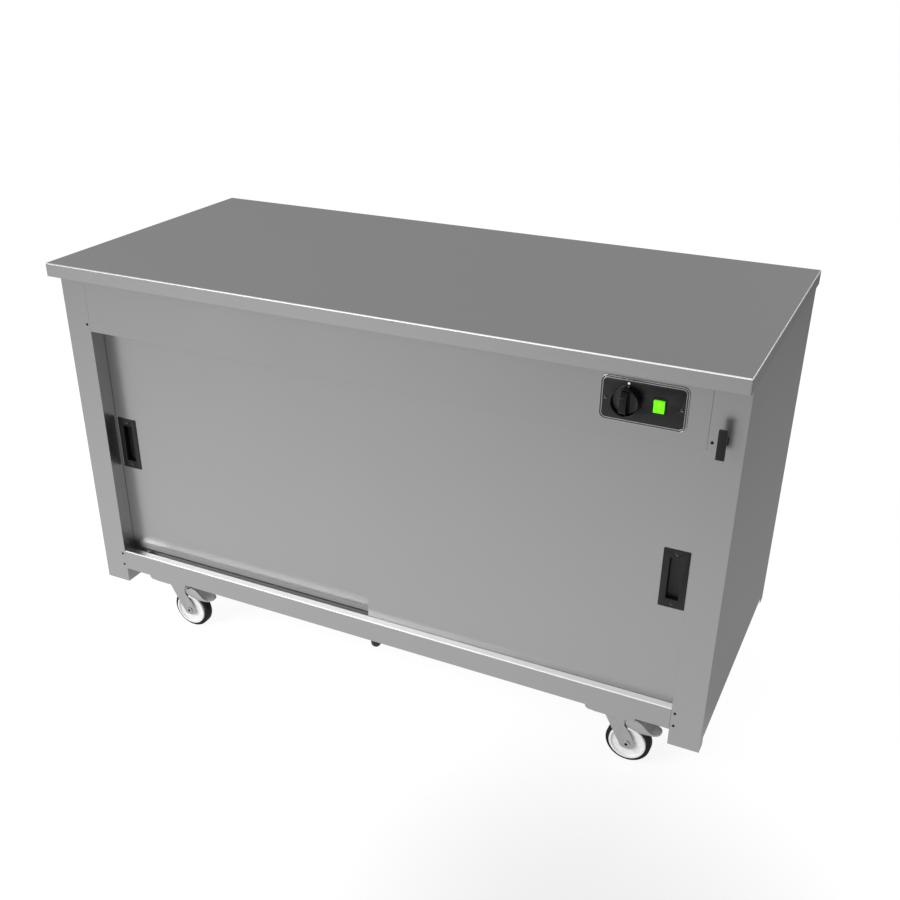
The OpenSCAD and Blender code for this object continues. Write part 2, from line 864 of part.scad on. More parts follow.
// Thermostat behind the fascia, with the bush that the knob's spindle turns in
module thermostat() {
    half = thermostat_w / 2;
    near = front_y + skin_t;
    color("ivory") difference() {
        union() {
            slab([knob_x - half, near, knob_z - half / 2 - bush_r],
                [knob_x + half, near + thermostat_d, knob_z + half]);
            bar_y(knob_x, knob_z, bush_r, plate_y + plate_t / 4, near + cut_over);
            for (i = [-1, 1])
                slab([knob_x + i * half / 2 - channel_t, near + thermostat_d - cut_over, knob_z],
                    [knob_x + i * half / 2 + channel_t, near + thermostat_d + bush_r,
                    knob_z + skin_t]);
        }
        bar_y(knob_x, knob_z, spindle_r + run_gap, front_y - cut_over * 4,
            near + spindle_l + cut_over);
    }
}

// Bar-in-cup knob with its spindle
module control_knob() {
    y0 = plate_y - slide_gap;
    floor_d = knob_d - cup_d;
    rim = 1.8;
    taper = 1.3;
    color("black") {
        translate([knob_x, y0, knob_z]) rotate([90, 0, 0]) {
            difference() {
                cylinder(r1 = knob_r, r2 = knob_r - taper, h = knob_d);
                translate([0, 0, floor_d]) cylinder(r = knob_r - taper - rim, h = knob_d);
            }
            intersection() {
                along_x(-grip_w / 2, grip_w / 2) polygon([
                    [-knob_r + rim, floor_d - cut_over], [knob_r - rim, floor_d - cut_over],
                    [knob_r - rim * 1.5, knob_d * 0.72], [knob_r * 0.5, grip_d],
                    [-knob_r * 0.5, grip_d], [-knob_r + rim * 1.5, knob_d * 0.72]
                ]);
                cylinder(r = knob_r - rim, h = grip_d * 2);
            }
        }
        bar_y(knob_x, knob_z, spindle_r, y0 - floor_d / 2, front_y + skin_t + spindle_l);
    }
}

// Snap-in switch housing with its rim on the control plate
module rocker_housing() {
    shell_w = rocker_w + 2 * switch_wall;
    shell_h = rocker_h + 2 * switch_wall;
    pivot_y = plate_y + rocker_d / 4;
    color("black") difference() {
        translate([switch_x, 0, plate_z]) {
            along_y(plate_y - switch_rim_t, plate_y)
                round_rect(shell_w + 2 * switch_rim, shell_h + 2 * switch_rim, switch_rim);
            along_y(plate_y - switch_rim_t / 2, plate_y + switch_d)
                square([shell_w, shell_h], center = true);
        }
        slab([switch_x - rocker_w / 2, plate_y - switch_rim_t - cut_over, plate_z - rocker_h / 2],
            [switch_x + rocker_w / 2, plate_y + rocker_d, plate_z + rocker_h / 2]);
        translate([switch_x - rocker_w / 2 - rocker_pin_r / 2, pivot_y, plate_z])
            rotate([0, 90, 0]) cylinder(r = rocker_pin_r + run_gap, h = rocker_w + rocker_pin_r);
    }
}

// Lit rocker, shown switched on with its lower half pressed in
module rocker_button() {
    half_h = rocker_h / 2 - 2 * slide_gap;
    half_w = rocker_w / 2 - slide_gap;
    pivot_y = plate_y + rocker_d / 4;
    proud = rocker_d * 0.62;
    color("lime") translate([switch_x, pivot_y, plate_z]) rotate([rocker_tilt, 0, 0]) {
        along_x(-half_w, half_w) polygon([
            [-proud, -half_h], [-proud * 0.76, 0], [-proud, half_h], [0, half_h * 0.9],
            [rocker_d / 2, half_h * 0.35], [rocker_d / 2, -half_h * 0.35], [0, -half_h * 0.9]
        ]);
        translate([-rocker_w / 2 - rocker_pin_r / 4, 0, 0])
            rotate([0, 90, 0]) cylinder(r = rocker_pin_r, h = rocker_w + rocker_pin_r / 2);
    }
}

hook_x = leg_x + hook_in;
hook_z = top_z - hook_drop;
hook_bar_t = 6;
hook_base_t = 3;
hook_base_h = 20;
hook_lift = 2.5;

// Moulded hook that the plug and lead hang on: oval base, stem and upright bar
module plug_hook() {
    tip_y = front_y - hook_d;
    color("black") {
        along_y(front_y - hook_base_t, front_y) translate([hook_x, hook_z])
            rotate(90) slot(hook_base_h, hook_w * 0.85);
        along_y(tip_y + hook_bar_t / 2, front_y - hook_base_t / 2) translate([hook_x, hook_z])
            round_rect(hook_w * 0.55, hook_w * 0.9, hook_w / 8);
        intersection() {
            along_y(tip_y, tip_y + hook_bar_t) translate([hook_x, hook_z + hook_lift])
                round_rect(hook_w, hook_h, hook_w / 10);
            along_x(hook_x - hook_w, hook_x + hook_w)
                translate([tip_y + hook_bar_t / 2, hook_z + hook_lift])
                    round_rect(hook_bar_t, hook_h, hook_w / 10);
        }
    }
}

// Doors

// Where a door stands: its middle plane and its outer side, -1 for the left
function door_y(side) = side < 0 ? rear_door_y : front_door_y;
function pull_x(side) = side * (door_x - pull_in);

// Puts a right-hand door's pieces in place, mirrored for the left
module door_place(side) {
    translate([0, door_y(side), 0]) mirror([side < 0 ? 1 : 0, 0, 0]) children();
}

// Folded outer skin, open to the back, with the cut-outs for the pull
module door_skin() {
    face = -door_t / 2;
    rear = door_t / 2 - skin_t;
    difference() {
        slab([-door_in_x, face, door_z0], [door_x, rear, door_z1]);
        slab([-door_in_x + skin_t, face + skin_t, door_z0 + skin_t],
            [door_x - skin_t, rear + cut_over, door_z1 - skin_t]);
        translate([door_x - pull_in, 0, pull_z]) {
            along_y(face - cut_over, face + skin_t + cut_over)
                square([pocket_w, pocket_h] + 2 * [1, 1] * (pocket_wall + seam), center = true);
            for (i = [-1, 1])
                bar_y(0, i * pull_screw, screw_hole_r, face - cut_over, face + skin_t + cut_over);
        }
    }
}

module door_back() {
    rear = door_t / 2 - skin_t;
    slab([-door_in_x, rear, door_z0], [door_x, door_t / 2, door_z1]);
}

// Flush pull: plate with a deep finger pocket
module door_handle() {
    face = -door_t / 2;
    pocket_y = door_t / 2 - skin_t;
    difference() {
        translate([door_x - pull_in, 0, pull_z]) {
            along_y(face - pull_t, face) round_rect(pull_w, pull_h, pull_t * 1.5);
            along_y(face - pull_t / 2, pocket_y)
                square([pocket_w, pocket_h] + 2 * [1, 1] * pocket_wall, center = true);
        }
        translate([door_x - pull_in, 0, pull_z]) {
            along_y(face - pull_t - cut_over, pocket_y - pocket_wall)
                square([pocket_w, pocket_h], center = true);
            for (i = [-1, 1])
                bar_y(0, i * pull_screw, screw_hole_r, face - pull_t - cut_over,
                    face + cut_over);
        }
    }
}

// Round-headed screws that hold the pull
module door_screws() {
    face = -door_t / 2;
    for (i = [-1, 1])
        translate([door_x - pull_in, face - pull_t, pull_z + i * pull_screw]) {
            bar_y(0, 0, screw_r, -cut_over / 4, screw_l);
            bar_y(0, 0, screw_head_r, -pull_t / 2, 0);
        }
}

// Angle brackets on the door's top edge that hold the top glides
module door_hangers() {
    for (x = hanger_places())
        difference() {
            along_x(x - hanger_w / 2, x + hanger_w / 2)
                fold([[hanger_foot - hanger_half, door_z1 + hanger_t / 2],
                    [-hanger_half + hanger_t / 2, door_z1 + hanger_t / 2],
                    [-hanger_half + hanger_t / 2, door_z1 + hanger_h]], hanger_t);
            bar_y(x, fin_top_z + glide_rise / 2, pivot_r + seam, -hanger_half - cut_over,
                -hanger_half + hanger_t + cut_over);
        }
}
function hanger_places() = [-door_in_x + hanger_in, door_x - hanger_in];

// Nylon pieces: a grooved glide on each hanger, and two guides that run in the trough
module door_glides() {
    face = -hanger_half + hanger_t;
    for (x = hanger_places()) {
        difference() {
            slab([x - hanger_w / 2, face, fin_top_z - glide_drop],
                [x + hanger_w / 2, face + glide_d, fin_top_z + glide_rise]);
            slab([x - hanger_w, -track_t / 2 - seam, fin_top_z - glide_drop - cut_over],
                [x + hanger_w, track_t / 2 + seam, fin_top_z + rest_gap]);
        }
        bar_y(x, fin_top_z + glide_rise / 2, pivot_r, -hanger_half - hanger_t, face + cut_over);
    }
    half = trough_half - slide_gap;
    for (x = [-door_in_x + guide_in, door_x - guide_in - guide_l])
        slab([x, -half, trough_z + guide_lift], [x + guide_l, half, door_z0]);
}

// Castors

module castor_plates() {
    low = castor_h - castor_plate_t;
    color("silver") for (castor = castors) translate(castor_at(castor)) difference() {
        union() {
            along_z(low, castor_h)
                round_rect(castor_plate_l, castor_plate_w, castor_corner_r);
            rotate_extrude() polygon([
                [0, low + castor_plate_t / 2], [race_r, low + castor_plate_t / 2],
                [race_r, low - race_h / 2], [race_r - race_h / 2, low - race_h], [0, low - race_h]
            ]);
        }
        along_z(low - race_h - cut_over, castor_h + cut_over) {
            circle(king_r + run_gap);
            bolt_places() circle(bolt_hole_r);
        }
    }
}

module castor_bolts() {
    low = castor_h - castor_plate_t;
    top = castor_h + channel_t;
    color("silver") for (castor = castors) translate(castor_at(castor)) bolt_places() {
        translate([0, 0, low - bolt_head_h]) cylinder(r = bolt_head_r, h = bolt_head_h, $fn = 6);
        translate([0, 0, low - bolt_head_h / 2]) cylinder(r = bolt_r, h = top + bolt_top - low);
        translate([0, 0, top]) cylinder(r = bolt_head_r, h = bolt_top * 0.7, $fn = 6);
    }
}

// Places in a castor's own frame, from its swivel axis; the wheel trails towards +X
axle_z = wheel_r;
wheel_top = axle_z + wheel_r;
leg_back = cup_r * 0.75;
neck_in = 8;
knee_out = 7.3;
neck_x = trail - neck_in;
knee_x = trail + knee_out;
pivot_x = neck_x - 3 * pivot_r;
pivot_z = crown_z - 3.4 * pivot_r;

// Side of the pressed fork: a leg from the crown to a round-cornered end at the axle
module fork_side() {
    tail = [trail - fork_flat / 2, axle_z] + [cos(205), sin(205)] * fork_end_r;
    nose = [trail + fork_flat / 2, axle_z] + [cos(19), sin(19)] * fork_end_r;
    difference() {
        union() {
            polygon([
                [-leg_back, crown_z + crown_t], [-leg_back, crown_z - crown_t / 2], tail, nose,
                [knee_x, axle_z + wheel_r / 2], [neck_x, wheel_top - crown_t],
                [neck_x - fork_t / 2, crown_z + crown_t]
            ]);
            for (i = [-1, 1]) translate([trail + i * fork_flat / 2, axle_z]) circle(fork_end_r);
            translate([trail - fork_flat / 2, axle_z - fork_end_r])
                square([fork_flat, fork_end_r]);
        }
        translate([trail, axle_z]) circle(axle_r + seam);
    }
}

// Fork: two pressed sides, crown, lower race and king pin, with the axle bolt in its ends
module castor_fork(braked) {
    out_y = fork_y + fork_t;
    king_top = castor_h + rest_gap + king_head_h;
    difference() {
        union() {
            for (i = [0, 1]) mirror([0, i, 0]) along_y(fork_y, out_y) fork_side();
            along_z(crown_z, crown_z + crown_t)
                translate([-leg_back, -out_y]) square([leg_back + neck_x - fork_t, 2 * out_y]);
            rotate_extrude() polygon([
                [0, crown_z], [cup_r - cup_h / 2, crown_z], [cup_r, crown_z + cup_h / 2],
                [cup_r, crown_z + cup_h], [0, crown_z + cup_h]
            ]);
            along_z(crown_z + cup_h / 2, king_top) circle(king_r);
            along_z(castor_h + rest_gap, king_top) circle(king_head_r);
            if (braked) bar_y(pivot_x, pivot_z, pivot_r, -out_y, out_y);
        }
    }
    castor_axle();
}

// Axle bolt with a round socket head at the front and a nut at the back
module castor_axle() {
    out_y = fork_y + fork_t;
    difference() {
        union() {
            bar_y(trail, axle_z, axle_r, -out_y - axle_head_h / 2, out_y + axle_head_h);
            bar_y(trail, axle_z, axle_head_r, -out_y - axle_head_h, -out_y);
            translate([trail, out_y + 2 * axle_head_h, axle_z]) rotate([90, 0, 0])
                cylinder(r = axle_head_r, h = 2 * axle_head_h, $fn = 6);
        }
        bar_y(trail, axle_z, socket_r, -out_y - axle_head_h - cut_over, -out_y);
    }
}

// White disc with a hub boss, a dished web and a rim for the tyre
module castor_wheel() {
    boss = fork_y - face_gap;
    face = disc_w / 2;
    edge = rim_w / 8;
    side = [
        [axle_r + run_gap, boss], [hub_r - edge, boss], [hub_r, boss - edge],
        [hub_r + dish_d / 2, face - dish_d], [disc_r - rim_w - dish_d / 2, face - dish_d],
        [disc_r - rim_w, face - 2 * edge], [disc_r - rim_w + edge, face - edge / 4],
        [disc_r - 2 * edge, face - edge / 4], [disc_r - edge / 2, face - edge],
        [disc_r, face - 3 * edge], [disc_r, tyre_w / 2 - edge]
    ];
    translate([trail, 0, axle_z]) rotate([90, 0, 0]) rotate_extrude($fn = 96)
        polygon(concat(side, [for (i = [len(side) - 1 : -1 : 0]) [side[i].x, -side[i].y]]));
}

module castor_tyre() {
    half = tyre_w / 2;
    shoulder = tyre_w / 8;
    translate([trail, 0, axle_z]) rotate([90, 0, 0]) rotate_extrude($fn = 96) polygon([
        [disc_r, -half + 0.5], [disc_r + 1.5, -half], [wheel_r - shoulder, -half],
        [wheel_r - shoulder / 3, -half + shoulder / 3], [wheel_r, -half + shoulder],
        [wheel_r, half - shoulder], [wheel_r - shoulder / 3, half - shoulder / 3],
        [wheel_r - shoulder, half], [disc_r + 1.5, half], [disc_r, half - 0.5]
    ]);
}

// The pedal's web starts past the fork and falls to a level tread; it lies between two skirts,
// which reach back to the fork's legs, stand above the web and run down to the tread
pedal_half = fork_y + pedal_t;
pedal_x = trail + 7 * pedal_t;
pedal_top = crown_z + crown_t;
pedal_bend_x = pedal_reach - pedal_tread;
pedal_low = pedal_top - pedal_drop;
pedal_round = pedal_half * 0.85;
skirt_top_shares = [
    [-0.625, 0.442], [-0.38, 0.372], [-0.19, 0.144], [-0.015, 0.088], [0.377, 0.284],
    [0.826, 0.828], [1.06, 0.94], [1.23, 0.95]
];
skirt_low_shares = [
    [1.23, 1.07], [1.04, 1.09], [0.55, 1.144], [0.28, 1.137], [0.058, 1.07], [-0.116, 1.035],
    [-0.557, 0.775]
];

// A point on the pedal's side, from shares of its slope's length and drop
function pedal_point(share) = [
    pedal_x + share.x * (pedal_bend_x - pedal_x), pedal_top - share.y * pedal_drop];

module pedal_skirt() {
    polygon([for (share = concat(skirt_top_shares, skirt_low_shares)) pedal_point(share)]);
}

module pedal_web() {
    h = pedal_t / 2;
    fold([[pedal_x + h, pedal_top - 3 * pedal_t], [pedal_bend_x - pedal_t, pedal_low - h],
        [pedal_reach, pedal_low - h]], pedal_t);
}

// Plan of the pedal, with a rounded end
module pedal_plan() {
    translate([pedal_x, -pedal_half])
        square([pedal_reach - pedal_round - pedal_x, 2 * pedal_half]);
    translate([pedal_reach - pedal_round * 2, -pedal_half + pedal_round])
        square([pedal_round * 2, 2 * (pedal_half - pedal_round)]);
    for (i = [-1, 1])
        translate([pedal_reach - pedal_round, i * (pedal_half - pedal_round)])
            circle(pedal_round);
}

// Brake pedal: web and skirts, and two ears inside the fork that turn on its pivot pin
module castor_pedal() {
    ear_out = fork_y - face_gap;
    ear_in = ear_out - pedal_t;
    ear_r = pivot_r + pedal_t;
    difference() {
        union() {
            intersection() {
                along_y(-pedal_half, pedal_half) pedal_web();
                along_z(axle_z, castor_h) pedal_plan();
            }
            for (i = [0, 1]) mirror([0, i, 0]) {
                along_y(pedal_half - pedal_t, pedal_half) pedal_skirt();
                along_y(ear_in, ear_out) {
                    translate([pivot_x, pivot_z]) circle(ear_r);
                    translate([pivot_x, pivot_z - ear_r / 2])
                        square([pedal_x - pivot_x + pedal_t, ear_r]);
                }
            }
            slab([pedal_x, -pedal_half + pedal_t / 2, pivot_z - ear_r / 2],
                [pedal_x + pedal_t, pedal_half - pedal_t / 2, pedal_top - 2 * pedal_t]);
        }
        bar_y(pivot_x, pivot_z, pivot_r + run_gap, -pedal_half, pedal_half);
    }
}

module castor(index) {
    translate(castor_at(castors[index])) children();
}

worktop();
worktop_stiffeners();
side_panel_left();
side_panel_right();
back_panel();
fascia();
bottom_rail();
top_track();
liner_left();
liner_right();
liner_back();
liner_floor();
liner_ceiling();
insulation();
base_tray();
castor_channels();
shelf();
shelf_rails();
heating_element();
element_guard();
control_bezel();
control_plate();
thermostat();
rocker_housing();
cable_gland();
terminal_block();
plug_hook();
panel_screws();
track_stops();
track_buffers();
castor_plates();
castor_bolts();
color("gainsboro") door_place(-1) door_skin();  // left_door_skin
color("silver") door_place(-1) door_back();  // left_door_back
color("black") door_place(-1) door_handle();  // left_door_handle
color("black") door_place(-1) door_screws();  // left_door_screws
color("silver") door_place(-1) door_hangers();  // left_door_hangers
color("black") door_place(-1) door_glides();  // left_door_glides
color("gainsboro") door_place(1) door_skin();  // right_door_skin
color("silver") door_place(1) door_back();  // right_door_back
color("black") door_place(1) door_handle();  // right_door_handle
color("black") door_place(1) door_screws();  // right_door_screws
color("silver") door_place(1) door_hangers();  // right_door_hangers
color("black") door_place(1) door_glides();  // right_door_glides
control_knob();
rocker_button();
color("silver") castor(0) castor_fork(true);  // castor_fl_fork
color("white") castor(0) castor_wheel();  // castor_fl_wheel
color("black") castor(0) castor_tyre();  // castor_fl_tyre
color("gray") castor(0) castor_pedal();  // castor_fl_pedal
color("silver") castor(1) castor_fork(true);  // castor_fr_fork
color("white") castor(1) castor_wheel();  // castor_fr_wheel
color("black") castor(1) castor_tyre();  // castor_fr_tyre
color("gray") castor(1) castor_pedal();  // castor_fr_pedal
color("silver") castor(2) castor_fork(false);  // castor_rl_fork
color("white") castor(2) castor_wheel();  // castor_rl_wheel
color("black") castor(2) castor_tyre();  // castor_rl_tyre
color("silver") castor(3) castor_fork(false);  // castor_rr_fork
color("white") castor(3) castor_wheel();  // castor_rr_wheel
color("black") castor(3) castor_tyre();  // castor_rr_tyre
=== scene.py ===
"""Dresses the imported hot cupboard: finishes, eased edges, screws, marks, wool, light, camera."""

import math

import bmesh
import bpy
from bpy.props import FloatProperty, FloatVectorProperty, PointerProperty, StringProperty
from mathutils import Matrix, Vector, noise
from mathutils.bvhtree import BVHTree


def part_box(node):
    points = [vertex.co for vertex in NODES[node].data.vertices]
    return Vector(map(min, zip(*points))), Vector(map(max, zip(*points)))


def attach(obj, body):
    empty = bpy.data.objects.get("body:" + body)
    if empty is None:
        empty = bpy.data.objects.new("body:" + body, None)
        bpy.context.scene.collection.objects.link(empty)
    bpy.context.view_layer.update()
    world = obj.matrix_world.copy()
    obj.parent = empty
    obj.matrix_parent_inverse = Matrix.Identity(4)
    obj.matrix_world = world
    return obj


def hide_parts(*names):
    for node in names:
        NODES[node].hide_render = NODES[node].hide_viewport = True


bl_info = {
    "name": "Mobile Hot Cupboard",
    "version": (1, 0, 0),
    "blender": (4, 5, 0),
    "location": "3D View > Sidebar > Cupboard",
    "description": "Finishes and small pieces for a stainless-steel mobile hot cupboard",
    "category": "Object",
}

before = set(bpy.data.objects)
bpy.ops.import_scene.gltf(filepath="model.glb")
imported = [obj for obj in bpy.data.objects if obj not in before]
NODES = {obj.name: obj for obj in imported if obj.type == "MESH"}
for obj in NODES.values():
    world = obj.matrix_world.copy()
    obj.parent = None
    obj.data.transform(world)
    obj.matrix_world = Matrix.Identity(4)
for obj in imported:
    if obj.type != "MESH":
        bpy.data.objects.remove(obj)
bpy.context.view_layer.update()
MM = 0.001
CASTORS = ("fl", "fr", "rl", "rr")
# Corners closer than this are one corner, and faces flatter than this angle are one face
WELD = MM / 1000
FLAT = math.radians(0.3)


# Settings


def hex_colour(label, what, default):
    """A property that holds an sRGB hex value."""
    return StringProperty(name=label, description=f"sRGB hex of {what}", default=default)


def number(label, what, default, **limits):
    """A property that holds a number."""
    return FloatProperty(name=label, description=what, default=default, **limits)


def length(label, what, default):
    """A property that holds a length in metres."""
    return number(label, what, default, min=0.0, subtype="DISTANCE")


def edge_width():
    """A property that holds the rounding of a small part's edges."""
    return number("Edge", "Rounding of the edges, in mm", 0.5, min=0.05, max=2)


# Nodes and materials


def linear(colour, factor=1.0):
    """An sRGB hex value such as #A5A5A5 as linear RGBA, made lighter or darker by a factor."""
    parts = [int(colour.lstrip("#")[i : i + 2], 16) / 255 for i in (0, 2, 4)]
    flat = [c / 12.92 if c <= 0.04045 else ((c + 0.055) / 1.055) ** 2.4 for c in parts]
    return (*[min(1.0, c * factor) for c in flat], 1.0)


def add_node(tree, kind, settings=None, links=None):
    """Adds one node; a setting or link names an input or gives its number, else an attribute.

    A link comes from a socket, or from a node's first output.
    """
    node = tree.nodes.new(kind)
    for key, value in (settings or {}).items():
        if isinstance(key, int) or key in node.inputs:
            node.inputs[key].default_value = value
        else:
            setattr(node, key, value)
    for key, source in (links or {}).items():
        tree.links.new(getattr(source, "outputs", [source])[0], node.inputs[key])
    return node


def empty_tree(owner):
    """The node tree of a material or world, cleared."""
    owner.use_nodes = True
    owner.node_tree.nodes.clear()
    return owner.node_tree


def new_material(name):
    """An empty node material with its shader and output."""
    material = bpy.data.materials.new(name)
    tree = empty_tree(material)
    shader = add_node(tree, "ShaderNodeBsdfPrincipled")
    add_node(tree, "ShaderNodeOutputMaterial", links={"Surface": shader})
    return material, tree, shader


def object_place(tree, scale=(1, 1, 1), location=(0, 0, 0)):
    """Object coordinates in metres, stretched and moved."""
    place = add_node(tree, "ShaderNodeTexCoord")
    return add_node(
        tree, "ShaderNodeMapping", {"Scale": scale, "Location": location},
        {"Vector": place.outputs["Object"]},
    )


def span(*ends):
    """Settings of a range: the ends that it maps from, then the ends that it maps to."""
    return dict(enumerate(ends, 1))


def vary(tree, shader, name, pattern, low, high, source=(0.3, 0.7)):
    """Lets a pattern run one of a shader's inputs between two numbers or two linear colours."""
    between_numbers = isinstance(low, float)
    ends = (*source, low, high) if between_numbers else source
    value = add_node(tree, "ShaderNodeMapRange", span(*ends), {0: pattern})
    if between_numbers:
        tree.links.new(value.outputs[0], shader.inputs[name])
        return
    blend = add_node(tree, "ShaderNodeMix", {"data_type": "RGBA", 6: low, 7: high}, {0: value})
    tree.links.new(blend.outputs[2], shader.inputs[name])


def vary_colour(tree, shader, pattern, colour, contrast, source=(0.3, 0.7)):
    """Breaks a base colour by a pattern, as far below it as above it."""
    dark, light = linear(colour, 1 - contrast), linear(colour, 1 + contrast)
    vary(tree, shader, "Base Color", pattern, dark, light, source)


def ramp(tree, axis, start, end, kind="Object"):
    """Rises from 0 to 1 along one coordinate of the surface, or of its normal.

    It falls where the start lies above the end. Both kinds turn with the piece.
    """
    place = add_node(tree, "ShaderNodeTexCoord").outputs[kind]
    parts = add_node(tree, "ShaderNodeSeparateXYZ", links={0: place}).outputs
    return add_node(tree, "ShaderNodeMapRange", span(start, end), {0: parts["XYZ".index(axis)]})


def overlay(material, masks, colour, metallic=None):
    """Lays a second colour, and a second metal share, over a finish where all masks are 1.

    The colour is a hex value, or a ramp with the two hex values that it runs between.
    """
    tree = material.node_tree
    shader = tree.nodes["Principled BSDF"]
    mask = masks[0]
    for other in masks[1:]:
        mask = add_node(tree, "ShaderNodeMath", {"operation": "MULTIPLY"}, {0: mask, 1: other})
    base = shader.inputs["Base Color"]
    below = base.links[0].from_socket
    mix = add_node(tree, "ShaderNodeMix", {"data_type": "RGBA"}, {0: mask, 6: below})
    if isinstance(colour, str):
        mix.inputs[7].default_value = linear(colour)
    else:
        along, start, end = colour
        shades = {"data_type": "RGBA", 6: linear(start), 7: linear(end)}
        between = add_node(tree, "ShaderNodeMix", shades, {0: along})
        tree.links.new(between.outputs[2], mix.inputs[7])
    tree.links.new(mix.outputs[2], base)
    if metallic is None:
        return
    share = shader.inputs["Metallic"]
    blend = add_node(tree, "ShaderNodeMix", {"data_type": "FLOAT", 3: metallic}, {0: mask})
    if share.links:
        tree.links.new(share.links[0].from_socket, blend.inputs[2])
    else:
        blend.inputs[2].default_value = share.default_value
    tree.links.new(blend.outputs[0], share)


def satin_sheet(name, colour, grain, across_mm, rough, contrast=0.012):
    """Satin polished stainless sheet: a metal with fine parallel scratches from the belt."""
    material, tree, shader = new_material(name)
    # The belt leaves scratches about 0.1 mm wide; drawn wider here, so that they show
    longer = 50 * across_mm
    scale = [1 / longer if axis == grain else 1.0 for axis in "XYZ"]
    scratches = add_node(
        tree, "ShaderNodeTexNoise",
        {"Scale": 1 / (across_mm * MM), "Detail": 3.0, "Roughness": 0.6},
        {"Vector": object_place(tree, scale)},
    )
    # Handling leaves soft patches about 220 mm wide where the sheet is a little duller
    patches = add_node(
        tree, "ShaderNodeTexNoise", {"Scale": 4.5, "Detail": 2.0, "Roughness": 0.5},
        {"Vector": object_place(tree)},
    )
    patch_share = 0.3
    tone = add_node(
        tree, "ShaderNodeMix", {"data_type": "FLOAT", 0: patch_share}, {2: scratches, 3: patches},
    )
    vary_colour(tree, shader, tone, colour, contrast)
    vary(tree, shader, "Roughness", tone, rough - 0.02, rough + 0.03)
    dents = add_node(
        tree, "ShaderNodeBump", {"Strength": 0.008, "Distance": 0.2 * MM}, {"Height": scratches},
    )
    tree.links.new(dents.outputs[0], shader.inputs["Normal"])
    shader.inputs["Metallic"].default_value = 1.0
    return material


def zinc_sheet(name, colour, spangle_mm, rough, contrast):
    """Zinc over pressed steel: a metal with the crystal pattern that the bath leaves."""
    material, tree, shader = new_material(name)
    cells = add_node(
        tree, "ShaderNodeTexVoronoi", {"Scale": 1 / (spangle_mm * MM), "Randomness": 1.0},
        {"Vector": object_place(tree)},
    ).outputs["Color"]
    grey = add_node(tree, "ShaderNodeRGBToBW", links={0: cells})
    vary_colour(tree, shader, grey, colour, contrast, (0, 1))
    vary(tree, shader, "Roughness", grey, rough - 0.05, rough + 0.08, (0, 1))
    shader.inputs["Metallic"].default_value = 1.0
    return material


def fine_finish(name, colour, grain_mm, rough, bump=0.1, metallic=0.0, contrast=0.12, gloss=0.5):
    """A moulded, painted, plated or oxidised surface: one colour broken by a fine even grain."""
    material, tree, shader = new_material(name)
    grain = add_node(
        tree, "ShaderNodeTexNoise", {"Scale": 1 / (grain_mm * MM), "Detail": 2.0},
        {"Vector": object_place(tree)},
    )
    # Handling and mould marks cloud the surface in patches about 25 mm wide
    cloud = add_node(
        tree, "ShaderNodeTexNoise", {"Scale": 40.0, "Detail": 3.0}, {"Vector": object_place(tree)}
    )
    vary_colour(tree, shader, cloud, colour, contrast)
    vary(tree, shader, "Roughness", cloud, rough - 0.05, rough + 0.06)
    relief = add_node(
        tree, "ShaderNodeBump", {"Strength": bump, "Distance": 0.2 * MM}, {"Height": grain}
    )
    tree.links.new(relief.outputs[0], shader.inputs["Normal"])
    shader.inputs["Metallic"].default_value = metallic
    shader.inputs["Specular IOR Level"].default_value = gloss
    return material


def finish_nodes(material, *names):
    """Puts a material on CAD nodes."""
    for name in names:
        for slot in NODES[name].material_slots:
            slot.material = material


# Meshes


def joined_copy(name):
    """A CAD node's mesh with its loose triangles joined."""
    bm = bmesh.new()
    bm.from_mesh(NODES[name].data)
    bmesh.ops.remove_doubles(bm, verts=bm.verts, dist=WELD)
    return bm


def solids(name):
    """Lowest and highest corner of each separate solid in a CAD node."""
    bm = joined_copy(name)
    seen, found = set(), []
    for start in bm.verts:
        if start in seen:
            continue
        seen.add(start)
        pile, corners = [start], []
        while pile:
            vert = pile.pop()
            corners.append(vert.co.copy())
            for edge in vert.link_edges:
                other = edge.other_vert(vert)
                if other not in seen:
                    seen.add(other)
                    pile.append(other)
        low = Vector(min(c[i] for c in corners) for i in range(3))
        high = Vector(max(c[i] for c in corners) for i in range(3))
        found.append((low, high))
    bm.free()
    return found


def new_object(name, data):
    """Links a new object to the scene."""
    thing = bpy.data.objects.new(name, data)
    bpy.context.scene.collection.objects.link(thing)
    return thing


def mesh_of(bm, name):
    """Writes a mesh drawn in code, and frees the drawing."""
    mesh = bpy.data.meshes.new(name)
    bm.to_mesh(mesh)
    bm.free()
    return mesh


def new_piece(name, mesh, body, material):
    """Links a finished mesh that rides on a body."""
    piece = new_object(name, mesh)
    mesh.materials.clear()
    mesh.materials.append(material)
    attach(piece, body)
    return piece


def drawn_piece(name, bm, body, material):
    """Makes a piece of a mesh that was drawn in code."""
    return new_piece(name, mesh_of(bm, name), body, material)


def plain_mesh(builder, name, angle=30):
    """Applies an object's modifiers and returns its mesh, smooth up to an angle in degrees."""
    bpy.context.view_layer.update()
    depsgraph = bpy.context.evaluated_depsgraph_get()
    mesh = bpy.data.meshes.new_from_object(builder.evaluated_get(depsgraph))
    mesh.name = name
    bpy.data.objects.remove(builder)
    mesh.shade_smooth()
    mesh.set_sharp_from_angle(angle=math.radians(angle))
    return mesh


